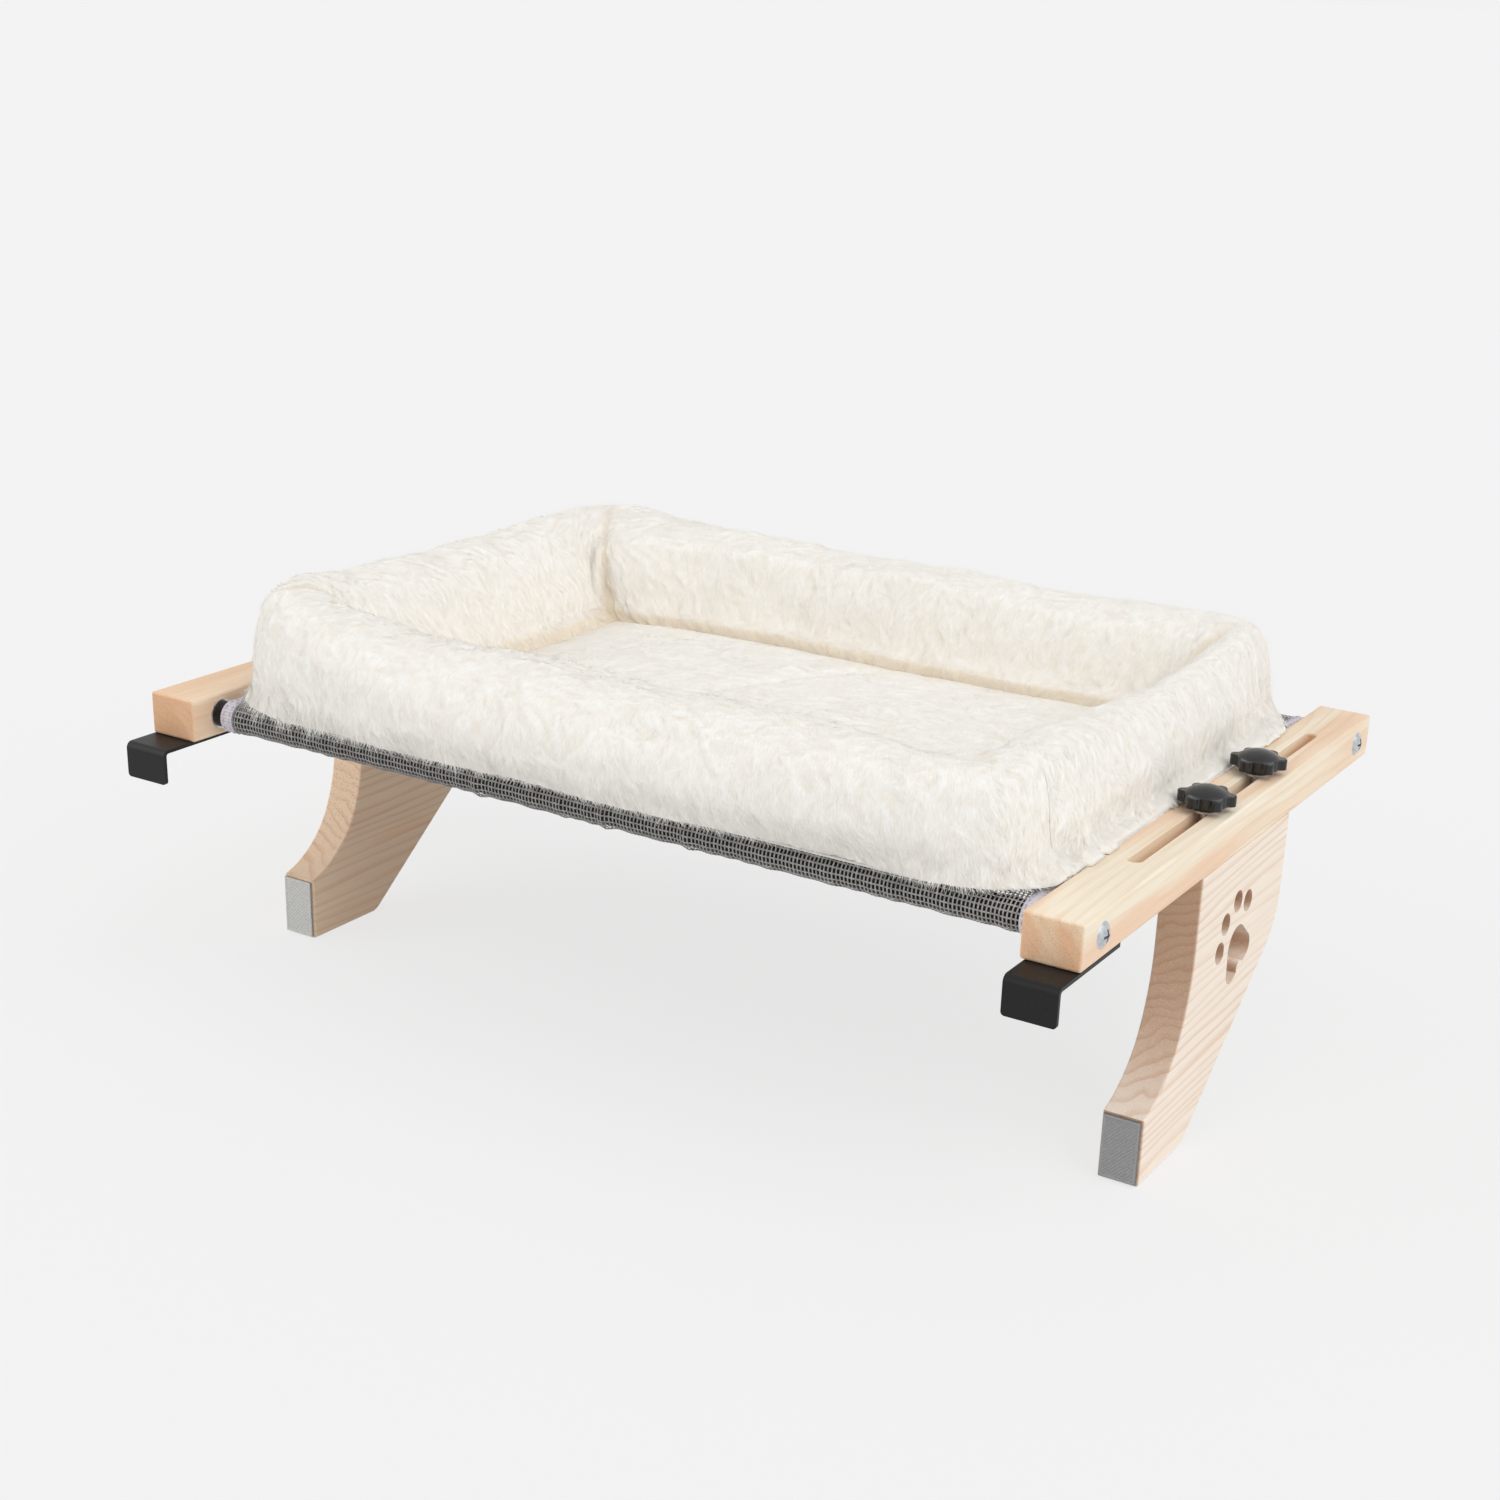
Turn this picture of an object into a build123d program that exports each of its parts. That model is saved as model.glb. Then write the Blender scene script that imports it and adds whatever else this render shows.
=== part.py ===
from build123d import *
import math
import os

os.makedirs("parts", exist_ok=True)

# Window mounted cat perch, millimetres, +Z up, +X to the right, +Y from the window into the room.
# The origin is the edge of the sill: midway between the rails, on the inner face of the
# two hook lips, at the height of the plates' undersides, which rest on the sill.

SIDES = {"left": -1, "right": 1}

# Rails
overall_width = 550
rail_length = 380
rail_width = 30
rail_height = 23
rail_ease = 1.5
slot_front_margin = 84
slot_rear_margin = 55
slot_width = 7
slot_ease = 0.6
tube_setback = 21

# Hook plates
plate_thickness = 2
plate_width = 27
plate_side_inset = 0.5
plate_bend_radius = 1.5
plate_corner_radius = 2
hook_reach = 18
lip_drop = 17
plate_seat_length = 45

# Hook screws, countersunk from below
hook_screw_radius = 1.75
hook_screw_head_radius = 3.6
hook_screw_head_height = 1.9
hook_screw_length = 16
hook_screw_front_margin = 9
hook_screw_rear_margin = 10
hook_screw_clearance = 0.1
hook_screw_slot_width = 0.9
hook_screw_slot_depth = 1
pilot_extra_depth = 0.3

# Tubes, plugs, washers and the screws that hold them
tube_radius = 7
tube_wall = 1.2
tube_washer_thickness = 1
tube_washer_radius = 8
plug_length = 18
screw_radius = 3
screw_fit = 0.05
screw_hole_clearance = 0.2
screw_thread_length = 14
screw_head_radius = 6.5
screw_head_height = 2.6
recess_length = 6.4
recess_width = 1.3
recess_depth = 1.7

# Mesh sling and its binding tape
sling_thickness = 1
sleeve_clearance = 0.3
sling_side_gap = 5
sling_shift = 2
sling_hem_bow = 9
tape_width = 12
tape_thickness = 0.5

# Legs
leg_thickness = 22
leg_front_setback = 140
leg_top_length = 118
leg_ease = 1.2
leg_drop = 147
foot_face_setback = 94
foot_height = 36
shin_length = 39
ankle_drop = 39
ankle_step = 8
knee_drop = 60.6
knee_radius = 38
heel_length = 54
heel_radius = 10

# Paw cut-outs in the legs
paw_below = 57
paw_tilt = 28
toe_half_width = 5.6
toe_half_height = 6.1
inner_toe_out = 8.3
inner_toe_up = 27.6
outer_toe_out = 19.1
outer_toe_up = 17.2
palm_top_radius = 11.5
palm_top_up = 2.5
palm_lobe_radius = 7
palm_lobe_out = 9
palm_lobe_down = 7
palm_notch_radius = 4
palm_notch_down = 14

# Foot pads
pad_thickness = 2
pad_side_margin = 1.2
pad_end_margin = 1
pad_corner_radius = 2
pad_edge = 0.4

# Threaded inserts in the legs
insert_radius = 4
insert_length = 14
insert_depth = 0.5
bore_extra_depth = 7

# Knobs, studs and knob washers
stud_radius = 2.95
stud_running_fit = 0.05
front_stud_setback = 33
stud_spacing = 70
stud_engagement = 12
stud_head_flats = 8
stud_head_height = 4
knob_washer_radius = 8
knob_washer_thickness = 1
knob_hub_radius = 7.5
knob_hub_height = 2.6
knob_body_radius = 11.4
knob_lobe_radius = 3.1
knob_lobe_reach = 11.5
knob_lobes = 6
knob_star_height = 5.5
knob_ease = 0.8
knob_dome_height = 3.6
knob_turn = 15

# Plush bed
bed_side_gap = 4
bed_front_overhang = 24
bed_rear_overhang = 10
bed_gap = 0.3
bed_corner_radius = 55
base_cloth_thickness = 2
base_cloth_inset = 12
bolster_width = 80
bolster_height = 54
cushion_height = 8
cushion_gap = 0.4
cushion_corner_radius = 16
cushion_edge_radius = 6
crease_depth = 2
crease_half_width = 9
cut_overrun = 5

# Shares of the bolster's width, from its outer face, and of its height that its outline goes through
outer_foot_shares = (0.09, 0)
outer_bulge_shares = (0, 0.4)
outer_shoulder_shares = (0.09, 0.82)
crest_shares = (0.34, 1)
inner_shoulder_shares = (0.6, 0.83)
inner_slope_shares = (0.8, 0.43)
inner_foot_shares = (0.96, 0)

# Shares of the cushion's length and depth, from its middle, where each soft crease starts and ends
crease_end_shares = (
    ((-0.2, -0.52), (0.06, 0.52)),
    ((0.12, 0.52), (0.54, -0.06)),
)

# Worked-out places
rail_x = (overall_width - rail_width) / 2
rail_inner_x = overall_width / 2 - rail_width
rail_front_y = hook_reach
rail_mid_y = rail_front_y + rail_length / 2
rail_rear_y = rail_front_y + rail_length
rail_bottom_z = plate_thickness
rail_top_z = rail_bottom_z + rail_height
slot_front_y = rail_front_y + slot_front_margin
slot_rear_y = rail_rear_y - slot_rear_margin
slot_mid_y = (slot_front_y + slot_rear_y) / 2
slot_length = slot_rear_y - slot_front_y
tube_z = rail_bottom_z + rail_height / 2
tube_ys = {"front": rail_front_y + tube_setback, "rear": rail_rear_y - tube_setback}
tube_end_x = rail_inner_x - tube_washer_thickness
hook_screw_ys = (
    rail_front_y + hook_screw_front_margin,
    rail_front_y + plate_seat_length - hook_screw_rear_margin,
)
leg_outer_x = overall_width / 2
leg_inner_x = leg_outer_x - leg_thickness
leg_front_y = rail_front_y + leg_front_setback
leg_back_y = leg_front_y + leg_top_length
leg_bottom_z = rail_bottom_z - leg_drop
foot_front_y = rail_front_y + foot_face_setback
foot_top_z = leg_bottom_z + foot_height
stud_ys = {
    "front": leg_front_y + front_stud_setback,
    "rear": leg_front_y + front_stud_setback + stud_spacing,
}
stud_bottom_z = rail_bottom_z - stud_engagement
hub_bottom_z = rail_top_z + knob_washer_thickness
star_bottom_z = hub_bottom_z + knob_hub_height
star_top_z = star_bottom_z + knob_star_height
stud_head_z = star_top_z - stud_head_height
sleeve_inner_radius = tube_radius + sleeve_clearance
sleeve_outer_radius = sleeve_inner_radius + sling_thickness
sling_top_z = tube_z + sleeve_outer_radius
bed_bottom_z = sling_top_z + tape_thickness + bed_gap
bolster_bottom_z = bed_bottom_z + base_cloth_thickness
sling_width = 2 * (rail_inner_x - sling_side_gap)
sling_mid_y = (tube_ys["front"] + tube_ys["rear"]) / 2
bed_front_y = tube_ys["front"] - bed_front_overhang
bed_rear_y = tube_ys["rear"] + bed_rear_overhang
bed_mid_y = (bed_front_y + bed_rear_y) / 2
bed_depth = bed_rear_y - bed_front_y
bed_width = 2 * (rail_inner_x - bed_side_gap)
corner_x = bed_width / 2 - bed_corner_radius
corner_y = bed_front_y + bed_corner_radius


# Wooden rail with its slot, cross holes and pilot holes
def make_rail(side, sign):
    with BuildPart() as rail:
        with BuildSketch(Plane.XY.offset(rail_bottom_z)):
            with Locations((sign * rail_x, rail_mid_y)):
                Rectangle(rail_width, rail_length)
        extrude(amount=rail_height)
        fillet(rail.edges(), rail_ease)
        with BuildSketch(Plane.XY.offset(rail_bottom_z)):
            with Locations((sign * rail_x, slot_mid_y)):
                SlotOverall(slot_length, slot_width, rotation=90)
        extrude(amount=rail_height, mode=Mode.SUBTRACT)
        slot_rim = rail.faces().sort_by(Axis.Z)[-1].inner_wires()[0]
        chamfer(slot_rim.edges(), slot_ease)
        with BuildSketch(Plane.YZ.offset(sign * rail_x)):
            for tube_y in tube_ys.values():
                with Locations((tube_y, tube_z)):
                    Circle(screw_radius + screw_hole_clearance)
        extrude(amount=rail_width, both=True, mode=Mode.SUBTRACT)
        with BuildSketch(Plane.XY.offset(rail_bottom_z)):
            for screw_y in hook_screw_ys:
                with Locations((sign * rail_x, screw_y)):
                    Circle(hook_screw_radius + screw_fit)
        extrude(amount=hook_screw_length - plate_thickness + pilot_extra_depth, mode=Mode.SUBTRACT)
    rail.part.label = f"{side}_rail"
    export_step(rail.part, f"parts/{side}_rail.step")


# Black coated L plate that hooks over the sill
def make_hook_plate(side, sign):
    plate_x = sign * (overall_width / 2 - plate_side_inset - plate_width / 2)
    plate_rear_y = rail_front_y + plate_seat_length
    with BuildPart() as hook_plate:
        with BuildSketch(Plane.YZ.offset(plate_x)) as profile:
            with BuildLine():
                Polyline(
                    (0, -lip_drop),
                    (0, 0),
                    (plate_rear_y, 0),
                    (plate_rear_y, plate_thickness),
                    (-plate_thickness, plate_thickness),
                    (-plate_thickness, -lip_drop),
                    close=True,
                )
            make_face()
            inner_bend = profile.vertices().sort_by_distance((0, 0))[0]
            fillet(inner_bend, plate_bend_radius)
            outer_bend = profile.vertices().sort_by_distance((-plate_thickness, plate_thickness))[0]
            fillet(outer_bend, plate_bend_radius + plate_thickness)
        extrude(amount=plate_width / 2, both=True)
        lip_corners = hook_plate.edges().filter_by(Axis.Y).group_by(Axis.Z)[0]
        tail_corners = hook_plate.edges().filter_by(Axis.Z).group_by(Axis.Y)[-1]
        fillet(lip_corners + tail_corners, plate_corner_radius)
        for screw_y in hook_screw_ys:
            with Locations(Plane(origin=(sign * rail_x, screw_y, 0), z_dir=(0, 0, -1))):
                CounterSinkHole(
                    hook_screw_radius + hook_screw_clearance,
                    hook_screw_head_radius + hook_screw_clearance,
                    plate_thickness + cut_overrun,
                )
    hook_plate.part.label = f"{side}_hook_plate"
    export_step(hook_plate.part, f"parts/{side}_hook_plate.step")


# Countersunk wood screws that hold a hook plate
def make_hook_screws(side, sign):
    tip_start = hook_screw_length - hook_screw_head_radius
    with BuildPart() as hook_screws:
        for screw_y in hook_screw_ys:
            foot = Plane(origin=(sign * rail_x, screw_y, 0), x_dir=(1, 0, 0), z_dir=(0, -1, 0))
            with BuildSketch(foot):
                with BuildLine():
                    Polyline(
                        (0, hook_screw_clearance),
                        (hook_screw_head_radius, hook_screw_clearance),
                        (hook_screw_radius, hook_screw_head_height),
                        (hook_screw_radius, tip_start),
                        (0, hook_screw_length),
                        close=True,
                    )
                make_face()
            revolve(axis=Axis((sign * rail_x, screw_y, 0), (0, 0, 1)))
        with BuildSketch(Plane.XY):
            for screw_y in hook_screw_ys:
                with Locations((sign * rail_x, screw_y)):
                    Rectangle(hook_screw_head_radius, hook_screw_slot_width)
                    Rectangle(hook_screw_slot_width, hook_screw_head_radius)
        extrude(amount=hook_screw_slot_depth, mode=Mode.SUBTRACT)
    hook_screws.part.label = f"{side}_hook_screws"
    export_step(hook_screws.part, f"parts/{side}_hook_screws.step")


# Steel tube that the sling hangs from
def make_tube(end, tube_y):
    with BuildPart() as tube:
        with BuildSketch(Plane.YZ):
            with Locations((tube_y, tube_z)):
                Circle(tube_radius)
                Circle(tube_radius - tube_wall, mode=Mode.SUBTRACT)
        extrude(amount=tube_end_x, both=True)
    tube.part.label = f"{end}_tube"
    export_step(tube.part, f"parts/{end}_tube.step")


# Threaded plugs pressed into the tube's two ends
def make_plugs(end, tube_y):
    with BuildPart() as plugs:
        for sign in SIDES.values():
            with BuildSketch(Plane.YZ.offset(sign * tube_end_x)):
                with Locations((tube_y, tube_z)):
                    Circle(tube_radius - tube_wall)
                    Circle(screw_radius, mode=Mode.SUBTRACT)
            extrude(amount=-sign * plug_length)
    plugs.part.label = f"{end}_tube_plugs"
    export_step(plugs.part, f"parts/{end}_tube_plugs.step")


# Zinc washers between the tube's ends and the rails
def make_tube_washers(end, tube_y):
    with BuildPart() as washers:
        for sign in SIDES.values():
            with BuildSketch(Plane.YZ.offset(sign * tube_end_x)):
                with Locations((tube_y, tube_z)):
                    Circle(tube_washer_radius)
                    Circle(screw_radius + screw_hole_clearance, mode=Mode.SUBTRACT)
            extrude(amount=sign * tube_washer_thickness)
    washers.part.label = f"{end}_tube_washers"
    export_step(washers.part, f"parts/{end}_tube_washers.step")


# Truss head screws through a rail into the tubes
def make_tube_screws(side, sign):
    face_x = sign * overall_width / 2
    shank_length = rail_width + tube_washer_thickness + screw_thread_length
    shank_radius = screw_radius - screw_fit
    with BuildPart() as tube_screws:
        for tube_y in tube_ys.values():
            with BuildSketch(Plane(origin=(face_x, tube_y, tube_z), x_dir=(sign, 0, 0), z_dir=(0, -sign, 0))):
                with BuildLine():
                    TangentArc((screw_head_height, 0), (0, screw_head_radius), tangent=(0, 1))
                    Polyline(
                        (0, screw_head_radius),
                        (0, shank_radius),
                        (-shank_length, shank_radius),
                        (-shank_length, 0),
                        (screw_head_height, 0),
                    )
                make_face()
            revolve(axis=Axis((face_x, tube_y, tube_z), (1, 0, 0)))
        with BuildSketch(Plane.YZ.offset(face_x + sign * screw_head_height)):
            for tube_y in tube_ys.values():
                with Locations((tube_y, tube_z)):
                    Rectangle(recess_length, recess_width)
                    Rectangle(recess_width, recess_length)
        extrude(amount=-sign * recess_depth, mode=Mode.SUBTRACT)
    tube_screws.part.label = f"{side}_tube_screws"
    export_step(tube_screws.part, f"parts/{side}_tube_screws.step")


# Side view of the sling: a ring round each tube and the deck across their tops,
# as far outside the mesh's own surfaces as the given thickness of tape
def sling_section(tape):
    tube_points = [(tube_y, tube_z) for tube_y in tube_ys.values()]
    deck_length = tube_ys["rear"] - tube_ys["front"]
    with Locations(*tube_points):
        Circle(sleeve_outer_radius + tape)
    with Locations((sling_mid_y, sling_top_z - sling_thickness / 2)):
        Rectangle(deck_length, sling_thickness + 2 * tape)
    with Locations(*tube_points):
        Circle(sleeve_inner_radius, mode=Mode.SUBTRACT)


# Plan between two hems that bow the same way or towards each other
def hem_plan(first_x, first_bow, second_x, second_bow):
    front_y = tube_ys["front"] - sleeve_outer_radius - cut_overrun
    rear_y = tube_ys["rear"] + sleeve_outer_radius + cut_overrun
    with BuildSketch() as plan:
        with BuildLine():
            ThreePointArc((first_x, front_y), (first_x + first_bow, sling_mid_y), (first_x, rear_y))
            Line((first_x, rear_y), (second_x, rear_y))
            ThreePointArc((second_x, rear_y), (second_x + second_bow, sling_mid_y), (second_x, front_y))
            Line((second_x, front_y), (first_x, front_y))
        make_face()
    return plan.sketch


# Mesh sling with a sewn sleeve round each tube
def make_sling():
    left_x = sling_shift - sling_width / 2
    right_x = sling_shift + sling_width / 2
    plan = hem_plan(left_x, sling_hem_bow, right_x, -sling_hem_bow)
    with BuildPart() as sling:
        with BuildSketch(Plane.YZ):
            sling_section(0)
        extrude(amount=sling_width, both=True)
        extrude(plan, amount=bed_bottom_z, mode=Mode.INTERSECT)
    sling.part.label = "sling"
    export_step(sling.part, "parts/sling.step")
    return sling.part


# Binding tape folded over a side hem of the sling and sewn down
def make_binding(side, sign, sling):
    hem_x = sling_shift + sign * sling_width / 2
    bow = -sign * sling_hem_bow
    plan = hem_plan(hem_x + sign * tape_thickness, bow, hem_x - sign * tape_width, bow)
    with BuildPart() as binding:
        with BuildSketch(Plane.YZ):
            sling_section(tape_thickness)
        extrude(amount=sling_width, both=True)
        extrude(plan, amount=bed_bottom_z, mode=Mode.INTERSECT)
        add(sling, mode=Mode.SUBTRACT)
    binding.part.label = f"sling_{side}_binding"
    export_step(binding.part, f"parts/sling_{side}_binding.step")


# The paw: four toes and a palm, drawn about the palm's middle
def paw_shape():
    for out, up in ((inner_toe_out, inner_toe_up), (outer_toe_out, outer_toe_up)):
        with Locations((-out, up), (out, up)):
            Ellipse(toe_half_width, toe_half_height)
    with BuildSketch(mode=Mode.PRIVATE) as palm:
        with Locations((0, palm_top_up)):
            Circle(palm_top_radius)
        with Locations((-palm_lobe_out, -palm_lobe_down), (palm_lobe_out, -palm_lobe_down)):
            Circle(palm_lobe_radius)
        make_hull()
        with Locations((0, -palm_notch_down)):
            Circle(palm_notch_radius, mode=Mode.SUBTRACT)
    add(palm.sketch_local)


# Curved wooden leg
def make_leg(side, sign):
    inner_x = sign * leg_inner_x
    heel_y = foot_front_y + heel_length
    paw_plane = Plane(
        origin=(inner_x, leg_front_y + leg_top_length / 2, rail_bottom_z - paw_below),
        x_dir=(0, math.cos(math.radians(paw_tilt)), math.sin(math.radians(paw_tilt))),
        z_dir=(1, 0, 0),
    )
    with BuildPart() as leg:
        with BuildSketch(Plane.YZ.offset(inner_x)) as profile:
            with BuildLine():
                shin = Line((leg_front_y, rail_bottom_z), (leg_front_y, rail_bottom_z - shin_length))
                ankle_point = (leg_front_y - ankle_step, rail_bottom_z - shin_length - ankle_drop)
                ankle = TangentArc(shin @ 1, ankle_point, tangent=(0, -1))
                instep = TangentArc(ankle @ 1, (foot_front_y, foot_top_z), tangent=ankle % 1)
                Polyline(
                    instep @ 1,
                    (foot_front_y, leg_bottom_z),
                    (heel_y, leg_bottom_z),
                    (leg_back_y, rail_bottom_z - knee_drop),
                    (leg_back_y, rail_bottom_z),
                    shin @ 0,
                )
            make_face()
            knee = profile.vertices().sort_by_distance((leg_back_y, rail_bottom_z - knee_drop))[0]
            fillet(knee, knee_radius)
            heel = profile.vertices().sort_by_distance((heel_y, leg_bottom_z))[0]
            fillet(heel, heel_radius)
        extrude(amount=sign * leg_thickness)
        outer_faces = leg.faces().filter_by(Axis.X)
        rim = [edge for face in outer_faces for edge in face.outer_wire().edges()]
        top_edges = leg.faces().sort_by(Axis.Z)[-1].edges()
        fillet(ShapeList(rim) - top_edges, leg_ease)
        with BuildSketch(paw_plane):
            paw_shape()
        extrude(amount=sign * leg_thickness, mode=Mode.SUBTRACT)
        with BuildSketch(Plane.XY.offset(rail_bottom_z)):
            for stud_y in stud_ys.values():
                with Locations((sign * rail_x, stud_y)):
                    Circle(insert_radius)
        extrude(amount=-(insert_depth + insert_length), mode=Mode.SUBTRACT)
        with BuildSketch(Plane.XY.offset(rail_bottom_z)):
            for stud_y in stud_ys.values():
                with Locations((sign * rail_x, stud_y)):
                    Circle(stud_radius + stud_running_fit)
        extrude(amount=-(insert_depth + insert_length + bore_extra_depth), mode=Mode.SUBTRACT)
    leg.part.label = f"{side}_leg"
    export_step(leg.part, f"parts/{side}_leg.step")


# Grey anti-slip pad on the front face of a foot
def make_foot_pad(side, sign):
    pad_x = sign * (leg_inner_x + leg_thickness / 2)
    with BuildPart() as pad:
        with BuildSketch(Plane.XZ.offset(-foot_front_y)):
            with Locations((pad_x, leg_bottom_z + foot_height / 2)):
                RectangleRounded(
                    leg_thickness - 2 * pad_side_margin,
                    foot_height - 2 * pad_end_margin,
                    pad_corner_radius,
                )
        extrude(amount=pad_thickness)
        fillet(pad.faces().sort_by(Axis.Y)[0].edges(), pad_edge)
    pad.part.label = f"{side}_foot_pad"
    export_step(pad.part, f"parts/{side}_foot_pad.step")


# Threaded inserts in a leg's top
def make_inserts(side, sign):
    with BuildPart() as inserts:
        with BuildSketch(Plane.XY.offset(rail_bottom_z - insert_depth)):
            for stud_y in stud_ys.values():
                with Locations((sign * rail_x, stud_y)):
                    Circle(insert_radius)
                    Circle(stud_radius + stud_running_fit, mode=Mode.SUBTRACT)
        extrude(amount=-insert_length)
    inserts.part.label = f"{side}_leg_inserts"
    export_step(inserts.part, f"parts/{side}_leg_inserts.step")


# Outline of the stud's hexagonal head
def stud_head_outline():
    RegularPolygon(stud_head_flats / 2, 6, major_radius=False)


# Star knob
def make_knob(name, x, y):
    axis_points = Locations((x, y))
    with BuildPart() as knob:
        with BuildSketch(Plane.XY.offset(hub_bottom_z)):
            with axis_points:
                Circle(knob_hub_radius)
        extrude(amount=knob_hub_height + knob_ease)
        with BuildSketch(Plane.XY.offset(star_bottom_z)) as star:
            with axis_points:
                Circle(knob_body_radius)
                with PolarLocations(knob_lobe_reach, knob_lobes, start_angle=knob_turn):
                    Circle(knob_lobe_radius)
            fillet(star.vertices(), knob_lobe_radius / 2)
        extrude(amount=knob_star_height)
        fillet(knob.faces().sort_by(Axis.Z)[-1].edges(), knob_ease)
        dome_plane = Plane(origin=(x, y, star_top_z), x_dir=(1, 0, 0), z_dir=(0, -1, 0))
        with BuildSketch(dome_plane):
            with BuildLine():
                base = Line((0, -knob_ease), (knob_body_radius - knob_ease, -knob_ease))
                rise = Line(base @ 1, (knob_body_radius - knob_ease, 0))
                dome = RadiusArc(rise @ 1, (0, knob_dome_height), -dome_radius())
                Line(dome @ 1, base @ 0)
            make_face()
        revolve(axis=Axis((x, y, star_top_z), (0, 0, 1)))
        with BuildSketch(Plane.XY.offset(hub_bottom_z)):
            with axis_points:
                Circle(stud_radius)
        extrude(amount=stud_head_z - hub_bottom_z, mode=Mode.SUBTRACT)
        with BuildSketch(Plane.XY.offset(stud_head_z)):
            with axis_points:
                stud_head_outline()
        extrude(amount=stud_head_height, mode=Mode.SUBTRACT)
    knob.part.label = f"{name}_knob"
    export_step(knob.part, f"parts/{name}_knob.step")


# Radius of the knob's dome, from its rise over the star's body
def dome_radius():
    half_chord = knob_body_radius - knob_ease
    return (half_chord**2 + knob_dome_height**2) / (2 * knob_dome_height)


# Steel stud, with the hexagonal head that the knob is moulded round
def make_stud(name, x, y):
    with BuildPart() as stud:
        with BuildSketch(Plane.XY.offset(stud_bottom_z)):
            with Locations((x, y)):
                Circle(stud_radius)
        extrude(amount=stud_head_z - stud_bottom_z)
        with BuildSketch(Plane.XY.offset(stud_head_z)):
            with Locations((x, y)):
                stud_head_outline()
        extrude(amount=stud_head_height)
    stud.part.label = f"{name}_stud"
    export_step(stud.part, f"parts/{name}_stud.step")


# Washer held under the knob
def make_knob_washer(name, x, y):
    with BuildPart() as washer:
        with BuildSketch(Plane.XY.offset(rail_top_z)):
            with Locations((x, y)):
                Circle(knob_washer_radius)
                Circle(stud_radius + stud_running_fit, mode=Mode.SUBTRACT)
        extrude(amount=knob_washer_thickness)
    washer.part.label = f"{name}_knob_washer"
    export_step(washer.part, f"parts/{name}_knob_washer.step")


# Thin cloth under the whole bed
def make_base_cloth():
    with BuildPart() as base_cloth:
        with BuildSketch(Plane.XY.offset(bed_bottom_z)):
            with Locations((0, bed_mid_y)):
                RectangleRounded(
                    bed_width - 2 * base_cloth_inset,
                    bed_depth - 2 * base_cloth_inset,
                    bed_corner_radius - base_cloth_inset,
                )
        extrude(amount=base_cloth_thickness)
    base_cloth.part.label = "bed_base_cloth"
    export_step(base_cloth.part, "parts/bed_base_cloth.step")


# Point of the bolster's outline at shares of its width and height
def outline_point(shares):
    return (shares[0] * bolster_width, shares[1] * bolster_height)


# Outline of a bolster across its length: a flat foot, a bulging outer side, a round crown
# near that side, and an inner side that slopes down to the cushion.
# The outer side is at zero, and only the given part of the width is kept.
def bolster_outline(plane, kept_width):
    outer_foot = outline_point(outer_foot_shares)
    outer_shoulder = outline_point(outer_shoulder_shares)
    inner_shoulder = outline_point(inner_shoulder_shares)
    inner_foot = outline_point(inner_foot_shares)
    with BuildSketch(plane) as outline:
        with BuildLine():
            ThreePointArc(outer_foot, outline_point(outer_bulge_shares), outer_shoulder)
            ThreePointArc(outer_shoulder, outline_point(crest_shares), inner_shoulder)
            ThreePointArc(inner_shoulder, outline_point(inner_slope_shares), inner_foot)
            Line(inner_foot, outer_foot)
        make_face()
        with Locations((kept_width, 0)):
            Rectangle(bolster_width, bolster_height * 2, align=(Align.MIN, Align.CENTER), mode=Mode.SUBTRACT)
    return outline.sketch


# Wedge on one side of the mitre line that runs in from a corner at 45 degrees
def mitre_wedge(sign_x, beside_front):
    reach = bolster_width
    far_x = sign_x * (corner_x - reach)
    far_y = corner_y + reach
    square_corner = (far_x, corner_y) if beside_front else (sign_x * corner_x, far_y)
    with BuildSketch(Plane.XY.offset(bed_bottom_z)) as wedge:
        with BuildLine():
            Polyline((sign_x * corner_x, corner_y), (far_x, far_y), square_corner, close=True)
        make_face()
    return wedge.sketch


# Front bolster with its two rounded corners
def make_front_bolster():
    middle_plane = Plane(origin=(0, bed_front_y, bolster_bottom_z), x_dir=(0, 1, 0), z_dir=(1, 0, 0))
    with BuildPart() as bolster:
        extrude(bolster_outline(middle_plane, bolster_width), amount=corner_x, both=True)
        for sign in SIDES.values():
            extrude(mitre_wedge(sign, False), amount=bolster_height * 2, mode=Mode.SUBTRACT)
        for sign in SIDES.values():
            corner_plane = middle_plane.offset(sign * corner_x)
            corner_axis = Axis((sign * corner_x, corner_y, 0), (0, 0, sign))
            revolve(bolster_outline(corner_plane, bed_corner_radius), axis=corner_axis, revolution_arc=90)
    bolster.part.label = "bed_front_bolster"
    export_step(bolster.part, "parts/bed_front_bolster.step")
    return bolster.part


# Rear bolster, the front one turned round
def make_rear_bolster(front_bolster):
    with BuildPart() as bolster:
        mirror(front_bolster, about=Plane(origin=(0, bed_mid_y, 0), z_dir=(0, 1, 0)))
    bolster.part.label = "bed_rear_bolster"
    export_step(bolster.part, "parts/bed_rear_bolster.step")


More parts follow.
